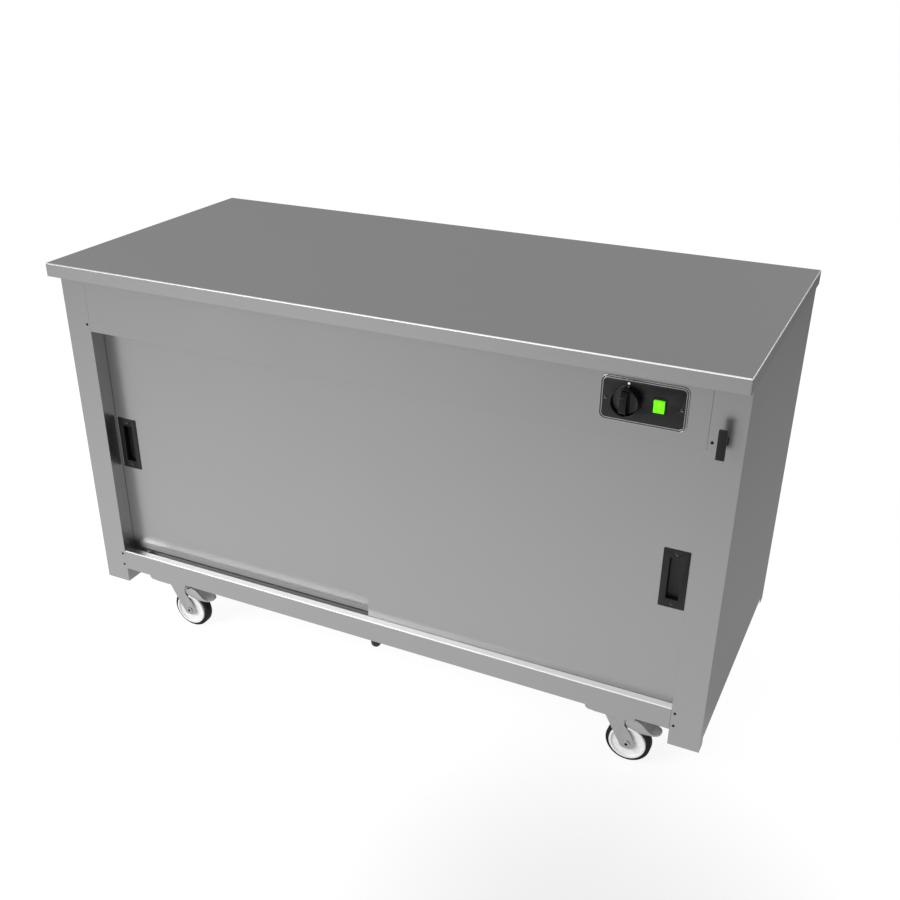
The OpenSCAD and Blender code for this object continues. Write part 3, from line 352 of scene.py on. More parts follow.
def eased(name, node, body, material, width, segments=2):
    """Replaces a CAD node by a copy whose sharp edges are rounded over, by a width in mm."""
    bm = joined_copy(node)
    bmesh.ops.dissolve_limit(bm, angle_limit=FLAT, verts=bm.verts, edges=bm.edges)
    builder = new_object(name + "_builder", mesh_of(bm, name))
    bevel = builder.modifiers.new("Edge", "BEVEL")
    bevel.width = width * MM
    bevel.segments = segments
    bevel.limit_method = "ANGLE"
    bevel.angle_limit = math.radians(32)
    bevel.use_clamp_overlap = True
    piece = new_piece(name, plain_mesh(builder, name), body, material)
    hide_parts(node)


def lathe(points, centre, steps=40):
    """Turns (radius, depth) points round an axis along Y; depth runs to the front."""
    bm = bmesh.new()
    rings = []
    for radius, depth in points:
        ring = []
        for i in range(steps):
            angle = 2 * math.pi * i / steps
            offset = Vector((radius * math.cos(angle), -depth, radius * math.sin(angle)))
            ring.append(bm.verts.new(centre + offset))
        rings.append(ring)
    for near, far in zip(rings, rings[1:] + rings[:1]):
        for i in range(steps):
            j = (i + 1) % steps
            bm.faces.new((near[i], near[j], far[j], far[i]))
    bmesh.ops.remove_doubles(bm, verts=bm.verts, dist=WELD / 10)
    bmesh.ops.recalc_face_normals(bm, faces=bm.faces)
    return bm


def button(radius, rim, top, inner):
    """A lathe outline: a low disc with a sloping rim and a flat top, inner times as wide."""
    return [(0.0, 0.0), (radius, 0.0), (radius, rim), (radius * inner, top), (0.0, top)]


def front_point(name, start):
    """Where a line towards the back first meets a CAD node, and the face's direction."""
    mesh = NODES[name].data
    faces = [face.vertices for face in mesh.polygons]
    tree = BVHTree.FromPolygons([vert.co for vert in mesh.vertices], faces)
    hit, normal, _, _ = tree.ray_cast(start, Vector((0, 1, 0)))
    if hit is None:
        raise RuntimeError("nothing lies behind this point")
    return hit, normal if normal.y < 0 else -normal


# Sheet metal


class SheetSettings(bpy.types.PropertyGroup):
    """Colours and grain of the stainless and galvanised sheet."""

    worktop: hex_colour("Worktop", "the worktop", "#A5A5A5")
    # Painted highlight: the colour of the worktop's front faces
    lit_hem: hex_colour("Hem", "the worktop's front", "#B0B0B0")
    # Painted highlight along the front fold, from its left end to its right end
    fold_left: hex_colour("Fold, left", "the front fold's left end", "#A0A0A0")
    fold_right: hex_colour("Fold, right", "the front fold's right end", "#DADADA")
    # Painted shade on the worktop's right end
    ends: hex_colour("Ends", "the worktop's ends", "#9A9A9A")
    panels: hex_colour("Panels", "the outer panels", "#A5A5A5")
    doors: hex_colour("Doors", "the doors", "#A5A5A5")
    # Painted reflection on the rear door's foot
    foot_reflection: hex_colour("Reflected foot", "the rear door's foot", "#989898")
    # Painted light: the troughs' matt grey
    trough: hex_colour("Trough", "the bottom rail's troughs", "#868686")
    # Painted highlight on the sill's top, from its left end to its right end
    sill_left: hex_colour("Sill, left", "the sill's left end", "#C6C6C6")
    sill_right: hex_colour("Sill, right", "the sill's right end", "#DCDCDC")
    # Painted highlight on the sill's front edge
    nose: hex_colour("Nose", "the sill's front edge", "#FFFFFF")
    liner: hex_colour("Liner", "the heated liner", "#8C8C8C")
    galvanised: hex_colour("Galvanised", "the hidden base sheet", "#8A8C8E")
    grain: number("Grain", "Width of a drawn scratch, in mm", 1.1, min=0.2, max=4)
    roughness: number(
        "Roughness", "Roughness of the satin polish", 0.3, min=0.05, max=0.9, subtype="FACTOR"
    )


class CUPBOARD_OT_sheet_finishes(bpy.types.Operator):
    """Give the worktop, panels, doors, liner and base their sheet-metal finishes"""

    bl_idname = "cupboard.sheet_finishes"
    bl_label = "Sheet Finishes"

    def execute(self, context):
        look = context.scene.cupboard_sheet
        finish_nodes(self.worktop(look), "worktop")
        finish_nodes(self.sill(look), "bottom_rail")
        finish_nodes(self.door_with_painted_reflection(look), "left_door_skin")
        panels = self.satin(look, "panels", look.panels, "Z")
        finish_nodes(panels, "side_panel_left", "side_panel_right", "back_panel")
        rails = self.satin(look, "rails", look.panels, "X")
        finish_nodes(rails, "fascia", "top_track", "castor_channels")
        doors = self.satin(look, "doors", look.doors, "Z")
        finish_nodes(doors, "right_door_skin")
        # Mill finish: rolled and not polished, so it is duller and its grain is coarser
        liner = satin_sheet(
            "mill_finish_stainless_liner", look.liner, "X", look.grain * 2, 0.42, contrast=0.05
        )
        inside = [name for name in NODES if name.startswith("liner_")]
        finish_nodes(liner, *inside, "shelf", "shelf_rails", "element_guard")
        finish_nodes(liner, "left_door_back", "right_door_back")
        galvanised = zinc_sheet(
            "hot_dip_galvanised_steel", look.galvanised, spangle_mm=9, rough=0.45, contrast=0.12
        )
        finish_nodes(galvanised, "base_tray", "worktop_stiffeners")
        return {"FINISHED"}

    def satin(self, look, name, colour, grain, **settings):
        """Satin sheet with the set grain and polish."""
        name = f"satin_stainless_{name}"
        return satin_sheet(name, colour, grain, look.grain, look.roughness, **settings)

    def worktop(self, look):
        """The worktop's satin sheet, with painted highlights on its front and its front fold."""
        worktop = self.satin(look, "worktop", look.worktop, "X", contrast=0.018)
        tree = worktop.node_tree
        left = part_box("worktop")[0].x
        # The worktop's front faces are painted lighter than its top, a painted highlight
        overlay(worktop, [ramp(tree, "Y", -0.6, -0.9, "Normal")], look.lit_hem)
        # A painted highlight lies along the outside of the front fold, dimmer at the left, where
        # the front lamp's own highlight falls, and brighter towards the right
        fold = [ramp(tree, "Z", 0.1, 0.2, "Normal"), ramp(tree, "Z", 0.99, 0.94, "Normal")]
        fold_highlight = (ramp(tree, "X", left, left + 1200 * MM), look.fold_left, look.fold_right)
        overlay(worktop, fold, fold_highlight, metallic=0.08)
        # The right end's faces are painted darker, a painted shade for the dim floor that they
        # mirror
        overlay(worktop, [ramp(tree, "X", 0.6, 0.9, "Normal")], look.ends)
        return worktop

    def sill(self, look):
        """The bottom rail's satin sheet: painted highlights on its sill, painted light in its
        troughs.
        """
        rail = self.satin(look, "sill", look.panels, "X")
        tree = rail.node_tree
        low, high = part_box("bottom_rail")
        # The last hand's breadth at the left lies behind the closed door and stays as it was
        inward = ramp(tree, "X", low.x + 35 * MM, low.x + 85 * MM)
        sunk = ramp(tree, "Z", high.z - 4 * MM, high.z - 6 * MM)
        behind = ramp(tree, "Y", low.y + 2 * MM, low.y + 3 * MM)
        # Painted light: a matt grey in place of mirror metal lifts the troughs out of their shade
        overlay(rail, [sunk, behind, inward], look.trough, metallic=0.15)
        # A painted highlight lies on the sill's top, paler towards the right
        top = ramp(tree, "Z", high.z - 1.6 * MM, high.z - 1.4 * MM)
        flat = ramp(tree, "Z", 0.5, 0.6, "Normal")
        painted_light = (ramp(tree, "X", low.x, high.x), look.sill_left, look.sill_right)
        overlay(rail, [top, flat, inward], painted_light, metallic=0.15)
        # A white painted highlight lies along the sill's front edge
        front = ramp(tree, "Y", low.y + 4.2 * MM, low.y + 3.4 * MM)
        overlay(rail, [top, flat, front], look.nose, metallic=0.1)
        return rail

    def door_with_painted_reflection(self, look):
        """The rear door's satin sheet: its foot runs in the trough and carries a painted
        reflection.
        """
        door = self.satin(look, "painted_foot_reflection", look.doors, "Z")
        tree = door.node_tree
        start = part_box("left_door_skin")[0]
        # Low on the door a lighter grey stands for the trough and sill it mirrors: a painted
        # reflection
        foot = ramp(tree, "Z", start.z + 15 * MM, start.z + 12 * MM)
        inward = ramp(tree, "X", start.x + 15 * MM, start.x + 45 * MM)
        overlay(door, [foot, inward], look.foot_reflection, metallic=0.2)
        return door


# Mouldings and inner fittings


class FittingSettings(bpy.types.PropertyGroup):
    """Colours of the black mouldings, the rubber buffers and the fittings inside."""

    black: hex_colour("Black moulding", "the pulls, hook and gland", "#080808")
    glides: hex_colour("Glides", "the doors' glides", "#1C1C1C")
    buffers: hex_colour("Buffers", "the rubber buffers", "#0C0C0C")
    ivory: hex_colour("Ivory", "the terminals and the thermostat", "#E2DAC4")
    sheath: hex_colour("Sheath", "the heating element", "#4A4440")
    edge: edge_width()


class CUPBOARD_OT_fittings(bpy.types.Operator):
    """Finish the pulls, hook, gland and switch rim, and the fittings behind the doors"""

    bl_idname = "cupboard.fittings"
    bl_label = "Mouldings and Fittings"

    def execute(self, context):
        look = context.scene.cupboard_fittings
        # Natural nylon dyed black, injection moulded: waxy, a little dull
        nylon = fine_finish("moulded_nylon_black", look.glides, grain_mm=0.8, rough=0.45)
        finish_nodes(nylon, "left_door_glides", "right_door_glides")
        # Moulded rubber: matt and dark
        rubber = fine_finish(
            "moulded_rubber_buffer", look.buffers, grain_mm=0.9, rough=0.6, bump=0.2
        )
        finish_nodes(rubber, "track_buffers")
        # Polyamide, injection moulded: pale, with an even soft sheen
        ivory = fine_finish(
            "moulded_polyamide_ivory", look.ivory, grain_mm=0.7, rough=0.45, bump=0.08,
            contrast=0.05,
        )
        finish_nodes(ivory, "terminal_block", "thermostat")
        # Nickel alloy sheath that has been run hot: dark, uneven oxide
        sheath = fine_finish(
            "oxidised_nickel_sheath", look.sheath, grain_mm=2.5, rough=0.55, metallic=0.85,
            contrast=0.3,
        )
        finish_nodes(sheath, "heating_element")
        # ABS, spark-eroded mould: a soft sheen with a fine even grain
        black = fine_finish("moulded_abs_black", look.black, grain_mm=0.6, rough=0.32, gloss=0.38)
        edge = look.edge
        mouldings = (
            ("left_flush_pull", "left_door_handle", "left_door", edge, 2),
            ("right_flush_pull", "right_door_handle", "right_door", edge, 2),
            ("plug_hook_moulding", "plug_hook", "cabinet", edge * 1.4, 3),
            ("gland_body", "cable_gland", "cabinet", edge, 2),
            ("switch_rim", "rocker_housing", "cabinet", edge * 0.6, 2),
        )
        for name, node, body, width, segments in mouldings:
            eased(name, node, body, black, width, segments)
        return {"FINISHED"}


# Controls


class ControlSettings(bpy.types.PropertyGroup):
    """Colours of the control plate, knob and switch, and sizes of the marks on them."""

    plate: hex_colour("Plate", "the control plate", "#0A0A0A")
    trim: hex_colour("Trim", "the control bezel", "#ACACAC")
    # Painted shade in the bezel's groove
    groove: hex_colour("Groove", "the painted_groove_shade in the bezel's groove", "#606060")
    knob: hex_colour("Knob", "the knob", "#080808")
    # Painted light on the knob's sunk face
    sunk_face_light: hex_colour("Brightened", "the knob's sunk face", "#444444")
    lens: hex_colour("Lens", "the lit rocker", "#64FF00")
    mark: hex_colour("Rocker marks", "the marks in the rocker", "#B6FF55")
    ink: hex_colour("Ink", "the printed index dot", "#FAFAFA")
    glow: number("Glow", "Strength of the lamp behind the lens", 0.55, min=0, max=5)
    dot: length("Dot radius", "Radius of the index dot", 2.1 * MM)
    lift: length("Dot height", "Middle of the dot above the knob's axis", 30 * MM)
    ring: length("Ring radius", "Radius of the off mark", 2.6 * MM)
    edge: edge_width()


class CUPBOARD_OT_controls(bpy.types.Operator):
    """Finish the bezel, plate, knob and rocker, with the index dot and the rocker's marks"""

    bl_idname = "cupboard.controls"
    bl_label = "Controls"

    def execute(self, context):
        look = context.scene.cupboard_controls
        edge = look.edge
        # Anodised aluminium dyed black: a metal skin that scatters like satin paint
        anodised = fine_finish(
            "anodised_aluminium_black", look.plate, grain_mm=0.5, rough=0.32, bump=0.06,
            contrast=0.06, gloss=0.42,
        )
        eased("control_face", "control_plate", "cabinet", anodised, edge * 0.6)
        trim = satin_sheet("satin_stainless_bezel", look.trim, "X", 0.8, 0.26, contrast=0.02)
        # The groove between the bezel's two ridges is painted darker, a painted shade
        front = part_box("control_bezel")[0].y
        groove = ramp(trim.node_tree, "Y", front + 0.8 * MM, front + 1.2 * MM)
        overlay(trim, [groove], look.groove)
        eased("control_rim", "control_bezel", "cabinet", trim, edge)
        grip, lens = self.phenolic(look), self.lit_lens(look)
        eased("knob_grip", "control_knob", "knob", grip, edge * 1.2, 3)
        eased("rocker_lens", "rocker_button", "rocker", lens, edge)
        self.index_dot(look)
        self.rocker_marks(look)
        return {"FINISHED"}

    def phenolic(self, look):
        """Phenolic, compression moulded: harder and glossier than the ABS."""
        phenolic = fine_finish(
            "moulded_phenolic_black", look.knob, grain_mm=0.8, rough=0.22, bump=0.05, gloss=0.3
        )
        # The knob's sunk face is painted lighter: painted light on a face that lies in shade
        tree = phenolic.node_tree
        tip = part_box("control_knob")[0].y
        sunk = ramp(tree, "Y", tip + 18 * MM, tip + 20 * MM)
        overlay(phenolic, [ramp(tree, "Y", -0.9, -0.98, "Normal"), sunk], look.sunk_face_light)
        return phenolic

    def lit_lens(self, look):
        """Clear acrylic tinted green, with a neon lamp behind it: brightest at its middle."""
        material, tree, shader = new_material("tinted_acrylic_lens")
        low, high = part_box("rocker_button")
        offset = add_node(
            tree, "ShaderNodeVectorMath", {"operation": "DISTANCE", 1: (low + high) / 2},
            {0: object_place(tree)},
        ).outputs[1]
        fall = (2 * MM, 15 * MM)
        shade = linear(look.lens)
        vary(tree, shader, "Base Color", offset, shade, linear(look.lens, 0.82), fall)
        vary(tree, shader, "Emission Color", offset, shade, linear(look.lens, 0.75), fall)
        shader.inputs["Emission Strength"].default_value = look.glow
        shader.inputs["Roughness"].default_value = 0.28
        shader.inputs["IOR"].default_value = 1.49
        shader.inputs["Specular IOR Level"].default_value = 0.2
        return material

    def index_dot(self, look):
        """The white dot over the knob, printed on the plate."""
        # Screen-printed epoxy ink: flat white, slightly raised
        ink = fine_finish(
            "screen_printed_ink_white", look.ink, grain_mm=0.5, rough=0.5, bump=0.03,
            contrast=0.02,
        )
        knob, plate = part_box("control_knob"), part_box("control_plate")
        axis = (knob[0] + knob[1]) / 2
        centre = Vector((axis.x, plate[0].y, axis.z + look.lift))
        bm = lathe(button(look.dot, 0.06 * MM, 0.12 * MM, 0.9), centre)
        drawn_piece("index_dot", bm, "cabinet", ink)

    def rocker_marks(self, look):
        """A ring on the upper half and a bar on the lower half, lying on the lens's faces."""
        # Clear acrylic, sunk and left unpolished, so that it looks paler than the lens
        frosted = fine_finish(
            "frosted_acrylic_mark", look.mark, grain_mm=0.5, rough=0.6, bump=0.05, contrast=0.04,
        )
        low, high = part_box("rocker_button")
        middle = (low + high) / 2
        outer, line = look.ring, look.ring * 0.28
        inner, proud = outer - line, 0.1 * MM
        ring = lathe(
            [(inner, 0.0), (outer, 0.0), (outer, proud), (inner, proud)], Vector((0, 0, 0)), 32
        )
        bar = bmesh.new()
        size = Vector((look.ring * 0.3, 2 * proud, look.ring * 1.8))
        for vert in bmesh.ops.create_cube(bar, size=1.0)["verts"]:
            vert.co = Vector(a * b for a, b in zip(vert.co, size))
        # Each mark's place is a share of the lens's height, up or down from its middle
        for name, bm, share in (("off_ring", ring, 0.25), ("on_bar", bar, -0.27)):
            start = Vector((middle.x, low.y - 5 * MM, middle.z + share * (high.z - low.z)))
            hit, normal = front_point("rocker_button", start)
            turn = Vector((0, -1, 0)).rotation_difference(normal)
            for vert in bm.verts:
                vert.co = turn @ vert.co + hit
            drawn_piece(name, bm, "rocker", frosted)


# Castors


class CastorSettings(bpy.types.PropertyGroup):
    """Colours of the castors and of the other zinc-plated fittings."""

    zinc: hex_colour("Zinc", "the zinc plating", "#A8A8A8")
    # Painted light: the pale matt faces of the brake pedals
    pedal: hex_colour("Pedal", "the brake pedals", "#CCCCCC")
    disc: hex_colour("Disc", "the wheels' discs", "#CFCFCF")
    tyre: hex_colour("Tyre", "the tyres", "#060606")
    # Painted shade over the axles' sockets
    socket_shade: hex_colour("Shade", "the grease in the axles' sockets", "#060606")
    socket: length("Socket radius", "Radius of the grease in an axle's socket", 3.3 * MM)
    edge: edge_width()


class CUPBOARD_OT_castors(bpy.types.Operator):
    """Finish the castors and the other zinc-plated fittings, with painted shade on the axles"""

    bl_idname = "cupboard.castors"
    bl_label = "Castors"

    def execute(self, context):
        look = context.scene.cupboard_castors
        zinc = zinc_sheet("bright_zinc_plate", look.zinc, spangle_mm=3, rough=0.34, contrast=0.05)
        finish_nodes(zinc, "track_stops", "castor_plates", "castor_bolts")
        finish_nodes(zinc, "left_door_hangers", "right_door_hangers")
        # Natural nylon, injection moulded: white, slightly waxy
        nylon = fine_finish(
            "moulded_nylon_white", look.disc, grain_mm=1.2, rough=0.38, bump=0.05, contrast=0.03
        )
        # Thermoplastic rubber, moulded: matt, a little dusty on the tread
        rubber = fine_finish(
            "moulded_rubber_tyre", look.tyre, grain_mm=0.9, rough=0.62, bump=0.2, contrast=0.3,
            gloss=0.25,
        )
        # A dark disc over each wheel axle's hexagon socket is painted shade for its hollow
        socket_shade = fine_finish(
            "painted_socket_shade", look.socket_shade, grain_mm=0.6, rough=0.6, bump=0.3, contrast=0.3,
            gloss=0.2,
        )
        painted_lit_zinc = self.painted_lit_zinc(look)
        edge = look.edge
        for c in CASTORS:
            swivel, wheel = f"castor_{c}", f"wheel_{c}"
            eased(f"fork_{c}", f"{swivel}_fork", swivel, zinc, edge * 0.8)
            eased(f"disc_{c}", f"{swivel}_wheel", wheel, nylon, edge * 0.8)
            eased(f"tyre_{c}", f"{swivel}_tyre", wheel, rubber, edge * 0.6)
            if f"{swivel}_pedal" in NODES:
                eased(f"brake_{c}", f"{swivel}_pedal", f"pedal_{c}", painted_lit_zinc, edge * 0.8)
            low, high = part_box(f"{swivel}_tyre")
            axle = (low + high) / 2
            start = Vector((axle.x, low.y - 60 * MM, axle.z))
            seat, _ = front_point(f"{swivel}_fork", start)
            bm = lathe(button(look.socket, 0.3 * MM, 0.5 * MM, 0.5), seat, 24)
            drawn_piece(f"axle_socket_shade_{c}", bm, swivel, socket_shade)
        return {"FINISHED"}

    def painted_lit_zinc(self, look):
        """Pale zinc that scatters more than it mirrors, painted light; its flanks keep the zinc.
        """
        painted_light = fine_finish(
            "zinc_plate_painted_lit", look.pedal, grain_mm=1.5, rough=0.5, bump=0.15, metallic=0.3,
            contrast=0.1,
        )
        for side in (-1, 1):
            flank = ramp(painted_light.node_tree, "Y", 0.6 * side, 0.9 * side, "Normal")
            overlay(painted_light, [flank], look.zinc, metallic=1.0)
        return painted_light


# Screws


class ScrewSettings(bpy.types.PropertyGroup):
    """Colours and sizes of the pan-headed screws."""

    dark: hex_colour("Screw", "the panels' screws", "#101010")
    plated: hex_colour("Plated screw", "the zinc-plated screws", "#8A8A8A")
    # Painted shade: it darkens the plated heads above their lower edges
    polish: hex_colour("Old polish", "the plated heads' upper parts", "#080808")
    radius: length("Head radius", "Radius of the head", 3 * MM)
    height: length("Head height", "Height of a panel screw's head", 1.5 * MM)
    sunk_height: length("Sunk head height", "Height of a pull screw's head", 1.0 * MM)
    sunk_depth: length("Sunk head depth", "Depth of a pull screw's seat below its tip", 0.6 * MM)
    recess: length("Recess width", "Width of the cross recess", 0.9 * MM)


def screw_tree():
    """Pan heads with a cross recess, one on each point of the mesh."""
    tree = bpy.data.node_groups.new("pan_head_screws", "GeometryNodeTree")
    sockets = {
        "Places": "Geometry", "Radius": "Float", "Height": "Float", "Recess": "Float",
        "Facing": "Vector", "Finish": "Material",
    }
    for name, kind in sockets.items():
        tree.interface.new_socket(name, in_out="INPUT", socket_type=f"NodeSocket{kind}")
    tree.interface.new_socket("Screws", in_out="OUTPUT", socket_type="NodeSocketGeometry")
    given = add_node(tree, "NodeGroupInput").outputs
    # The upper half of a ball is the dome, and its lower half is pressed nearly flat
    ball = add_node(tree, "GeometryNodeMeshIcoSphere", {"Radius": 1.0, "Subdivisions": 4})
    place = add_node(tree, "GeometryNodeInputPosition")
    where = add_node(tree, "ShaderNodeSeparateXYZ", links={0: place}).outputs
    dome = add_node(tree, "ShaderNodeMath", {"operation": "MAXIMUM", 1: 0.0}, {0: where[2]})
    foot = add_node(tree, "ShaderNodeMath", {"operation": "MINIMUM", 1: 0.0}, {0: where[2]})
    foot_share = 0.08
    rise = add_node(
        tree, "ShaderNodeMath", {"operation": "MULTIPLY_ADD", 1: foot_share}, {0: foot, 2: dome},
    )
    unit = add_node(tree, "ShaderNodeCombineXYZ", links={0: where[0], 1: where[1], 2: rise})
    size = add_node(
        tree, "ShaderNodeCombineXYZ",
        links={0: given["Radius"], 1: given["Radius"], 2: given["Height"]},
    )
    shaped = add_node(tree, "ShaderNodeVectorMath", {"operation": "MULTIPLY"}, {0: unit, 1: size})
    head = add_node(tree, "GeometryNodeSetPosition", links={"Geometry": ball, "Position": shaped})
    # The recess is cut by two crossed bars, a little longer than the head's radius
    longer = add_node(
        tree, "ShaderNodeMath", {"operation": "MULTIPLY", 1: 1.15}, {0: given["Radius"]}
    )
    lift = add_node(tree, "ShaderNodeCombineXYZ", links={2: given["Height"]})
    cut = add_node(tree, "GeometryNodeMeshBoolean", {"operation": "DIFFERENCE"})
    tree.links.new(head.outputs[0], cut.inputs["Mesh 1"])
    for sides in ((longer, given["Recess"]), (given["Recess"], longer)):
        box = add_node(
            tree, "ShaderNodeCombineXYZ", links={0: sides[0], 1: sides[1], 2: given["Height"]}
        )
        bar = add_node(tree, "GeometryNodeMeshCube", links={"Size": box})
        lifted = add_node(
            tree, "GeometryNodeTransform", links={"Geometry": bar, "Translation": lift},
        )
        tree.links.new(lifted.outputs[0], cut.inputs["Mesh 2"])
    turned = add_node(
        tree, "FunctionNodeAlignRotationToVector", {"axis": "Z"}, {"Vector": given["Facing"]}
    )
    placed = add_node(
        tree, "GeometryNodeInstanceOnPoints",
        links={"Points": given["Places"], "Instance": cut, "Rotation": turned},
    )
    real = add_node(tree, "GeometryNodeRealizeInstances", links={"Geometry": placed})
    done = add_node(
        tree, "GeometryNodeSetMaterial", links={"Geometry": real, "Material": given["Finish"]},
    )
    add_node(tree, "NodeGroupOutput", links={0: done})
    return tree


class CUPBOARD_OT_screws(bpy.types.Operator):
    """Put cross-recessed screws where the CAD has its plain ones"""

    bl_idname = "cupboard.screws"
    bl_label = "Screws"

    def execute(self, context):
        size = context.scene.cupboard_screws
        # Steel screws, black oxide finish: nearly black, faintly metallic
        dark = fine_finish(
            "black_oxide_screw", size.dark, grain_mm=0.6, rough=0.35, bump=0.05, metallic=0.6
        )
        # Those in the black mouldings and the plate are zinc plated
        plated = fine_finish(
            "zinc_plated_screw", size.plated, grain_mm=0.6, rough=0.3, bump=0.05, metallic=0.5
        )
        # Painted shade darkens the plated heads, but for a painted glint along their lower edges
        upper = ramp(plated.node_tree, "Z", -0.35, -0.1, "Normal")
        overlay(plated, [upper], size.polish, metallic=0.0)
        tree = screw_tree()
        sunk = (size.sunk_depth, size.sunk_height)
        groups = (
            ("panel_screws", "cabinet", size.height, size.height),
            ("left_door_screws", "left_door", *sunk),
            ("right_door_screws", "right_door", *sunk),
        )
        for node, body, depth, height in groups:
            for group, points in self.places(node, depth).items():
                finish = dark if node == "panel_screws" and group != "plate" else plated
                way = 1.0 if group == "back" else -1.0
                values = {
                    "Radius": size.radius, "Height": height, "Recess": size.recess,
                    "Facing": (0.0, way, 0.0), "Finish": finish,
                }
                name = f"{node}_{group}"
                mesh = bpy.data.meshes.new("screw_places")
                mesh.from_pydata(points, [], [])
                builder = new_object(name + "_builder", mesh)
                modifier = builder.modifiers.new("Screws", "NODES")
                modifier.node_group = tree
                for item in tree.interface.items_tree:
                    if item.name in values:
                        modifier[item.identifier] = values[item.name]
                piece = new_piece(name, plain_mesh(builder, name), body, finish)
                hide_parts(node)
        return {"FINISHED"}

    def places(self, node, depth):
        """Where a node's heads sit, as those at the back, on the control plate and in front."""
        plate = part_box("control_plate")
        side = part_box("side_panel_right")
        middle = (side[0].y + side[1].y) / 2
        found = {}
        for low, high in solids(node):
            at_back = low.y >= middle
            # The head's underside lies behind its tip
            seat = high.y - depth if at_back else low.y + depth
            spot = Vector(((low.x + high.x) / 2, seat, (low.z + high.z) / 2))
            on_plate = all(plate[0][i] < spot[i] < plate[1][i] for i in (0, 2))
            group = "back" if at_back else "plate" if on_plate else "front"
            found.setdefault(group, []).append(spot)
        return found


# Insulation


class WoolSettings(bpy.types.PropertyGroup):
    """Look of the mineral wool slabs."""

    colour: hex_colour("Colour", "the wool", "#B9A86C")
    cell: number(
        "Cell", "Spacing of the slab's surface points", 24 * MM, min=8 * MM, subtype="DISTANCE"
    )
    sag: length("Unevenness", "How far the slab's faces dip", 1.6 * MM)


def felt(look):
    """Mineral wool pressed in slabs: matt straw-coloured fibres, uneven and slightly furry."""
    material, tree, shader = new_material("pressed_mineral_wool")
    # Fibres are microns wide; drawn as 1.5 mm strands in clumps
    strands = add_node(
        tree, "ShaderNodeTexNoise", {"Scale": 650.0, "Detail": 6.0, "Distortion": 1.5},
        {"Vector": object_place(tree, (1, 0.4, 1))},
    )
    vary(tree, shader, "Base Color", strands, linear(look.colour, 0.6), linear(look.colour, 1.15))
    relief = add_node(
        tree, "ShaderNodeBump", {"Strength": 0.6, "Distance": MM}, {"Height": strands}
    )
    tree.links.new(relief.outputs[0], shader.inputs["Normal"])
    shader.inputs["Roughness"].default_value = 0.95
    shader.inputs["Sheen Weight"].default_value = 0.3
    return material


class CUPBOARD_OT_wool(bpy.types.Operator):
    """Replace the plain insulation by slabs with dipped, rounded faces"""

    bl_idname = "cupboard.wool"
    bl_label = "Mineral Wool"

    def execute(self, context):
        look = context.scene.cupboard_wool
        bm = bmesh.new()
        for low, high in solids("insulation"):
            self.slab(bm, low, high, look)
        piece = drawn_piece("wool_slabs", bm, "cabinet", felt(look))
        piece.data.shade_smooth()
        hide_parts("insulation")
        return {"FINISHED"}

    def slab(self, bm, low, high, look):
        """A block divided into cells, its corners rounded and its faces dipped inwards."""
        size = high - low
        middle = (low + high) / 2
        deepest = min(size) / 4
        made = bmesh.ops.create_cube(bm, size=1.0)["verts"]
        for vert in made:
            vert.co = Vector(a * b for a, b in zip(vert.co, size)) + middle
        for axis in range(3):
            count = max(2, round(size[axis] / look.cell))
            across = Vector(float(i == axis) for i in range(3))
            for i in range(1, count):
                at = low + across * (i * size[axis] / count)
                # A dict keeps each once, in the same order in every run, which a set doesn't
                edges = dict.fromkeys(e for v in made for e in v.link_edges)
                faces = dict.fromkeys(f for v in made for f in v.link_faces)
                cut = bmesh.ops.bisect_plane(
                    bm, geom=[*made, *edges, *faces], plane_co=at, plane_no=across
                )["geom_cut"]
                new = [g for g in cut if isinstance(g, bmesh.types.BMVert)]
                made = list(dict.fromkeys([*made, *new]))
        grain_per_metre, on_face = 9.0, 0.999
        for vert in made:
            offset = [(vert.co[i] - middle[i]) / (size[i] / 2) for i in range(3)]
            dip = (noise.noise(vert.co * grain_per_metre) + 1) / 2 * look.sag
            # A slab's arrises are softer than its faces, so an edge draws in further
            dip += (sum(abs(o) > on_face for o in offset) - 1) * look.sag
            for i in range(3):
                if abs(offset[i]) > on_face:
                    vert.co[i] -= math.copysign(min(dip, deepest), offset[i])


# Stage


# Where each lamp stands, what it points at and how wide it is, in metres
FRONT_LAMP = ((-2.4, -3.4, 2.4), (0, 0, 0.4), 2.6)
RIM_LAMP = ((2.2, 3.6, 3.0), (0.4, 0, 0.8), 1.2)
# The way to the room's pale side, and the room's strength opposite it and there
PALE_SIDE = Vector((-0.35, -0.75, -0.55)).normalized()
PALE_RANGE = (0.48, 1.0)
# The back wall is darker near the floor and to the left; the worktop mirrors it
WALL_UP = (0.12, 0.0, 1.0)
WALL_HEIGHTS = (0.04, 0.32)
WALL_RANGE = (0.42, 1.04)
WALL_EDGE = (0.0, 0.5)
# The pool of light on the floor that the metal mirrors: its reach to either side and in depth
POOL_REACH = (3.7, 2.35)
POOL_CENTRE = (-0.8, -0.2)
POOL_STRENGTH = 1.07
# Between these depths, the floor behind the cupboard's front face falls to this share of it
DARK_DEPTHS = (-0.38, 0.02)
DARK_SHARE = 0.37
# The broad faint shade on the floor towards the camera
SHADE_CENTRE = (0.68, -0.74, 0.0)
SHADE_REACH = 0.75
SHADE_RANGE = (0.85, 1.08)
# The floor's own brightness, and how much of it glows when seen and when mirrored
FLOOR_GREY = 0.9
SEEN_GLOW = 0.86
MIRRORED_GLOW = 0.8
WHITE = (1, 1, 1, 1)


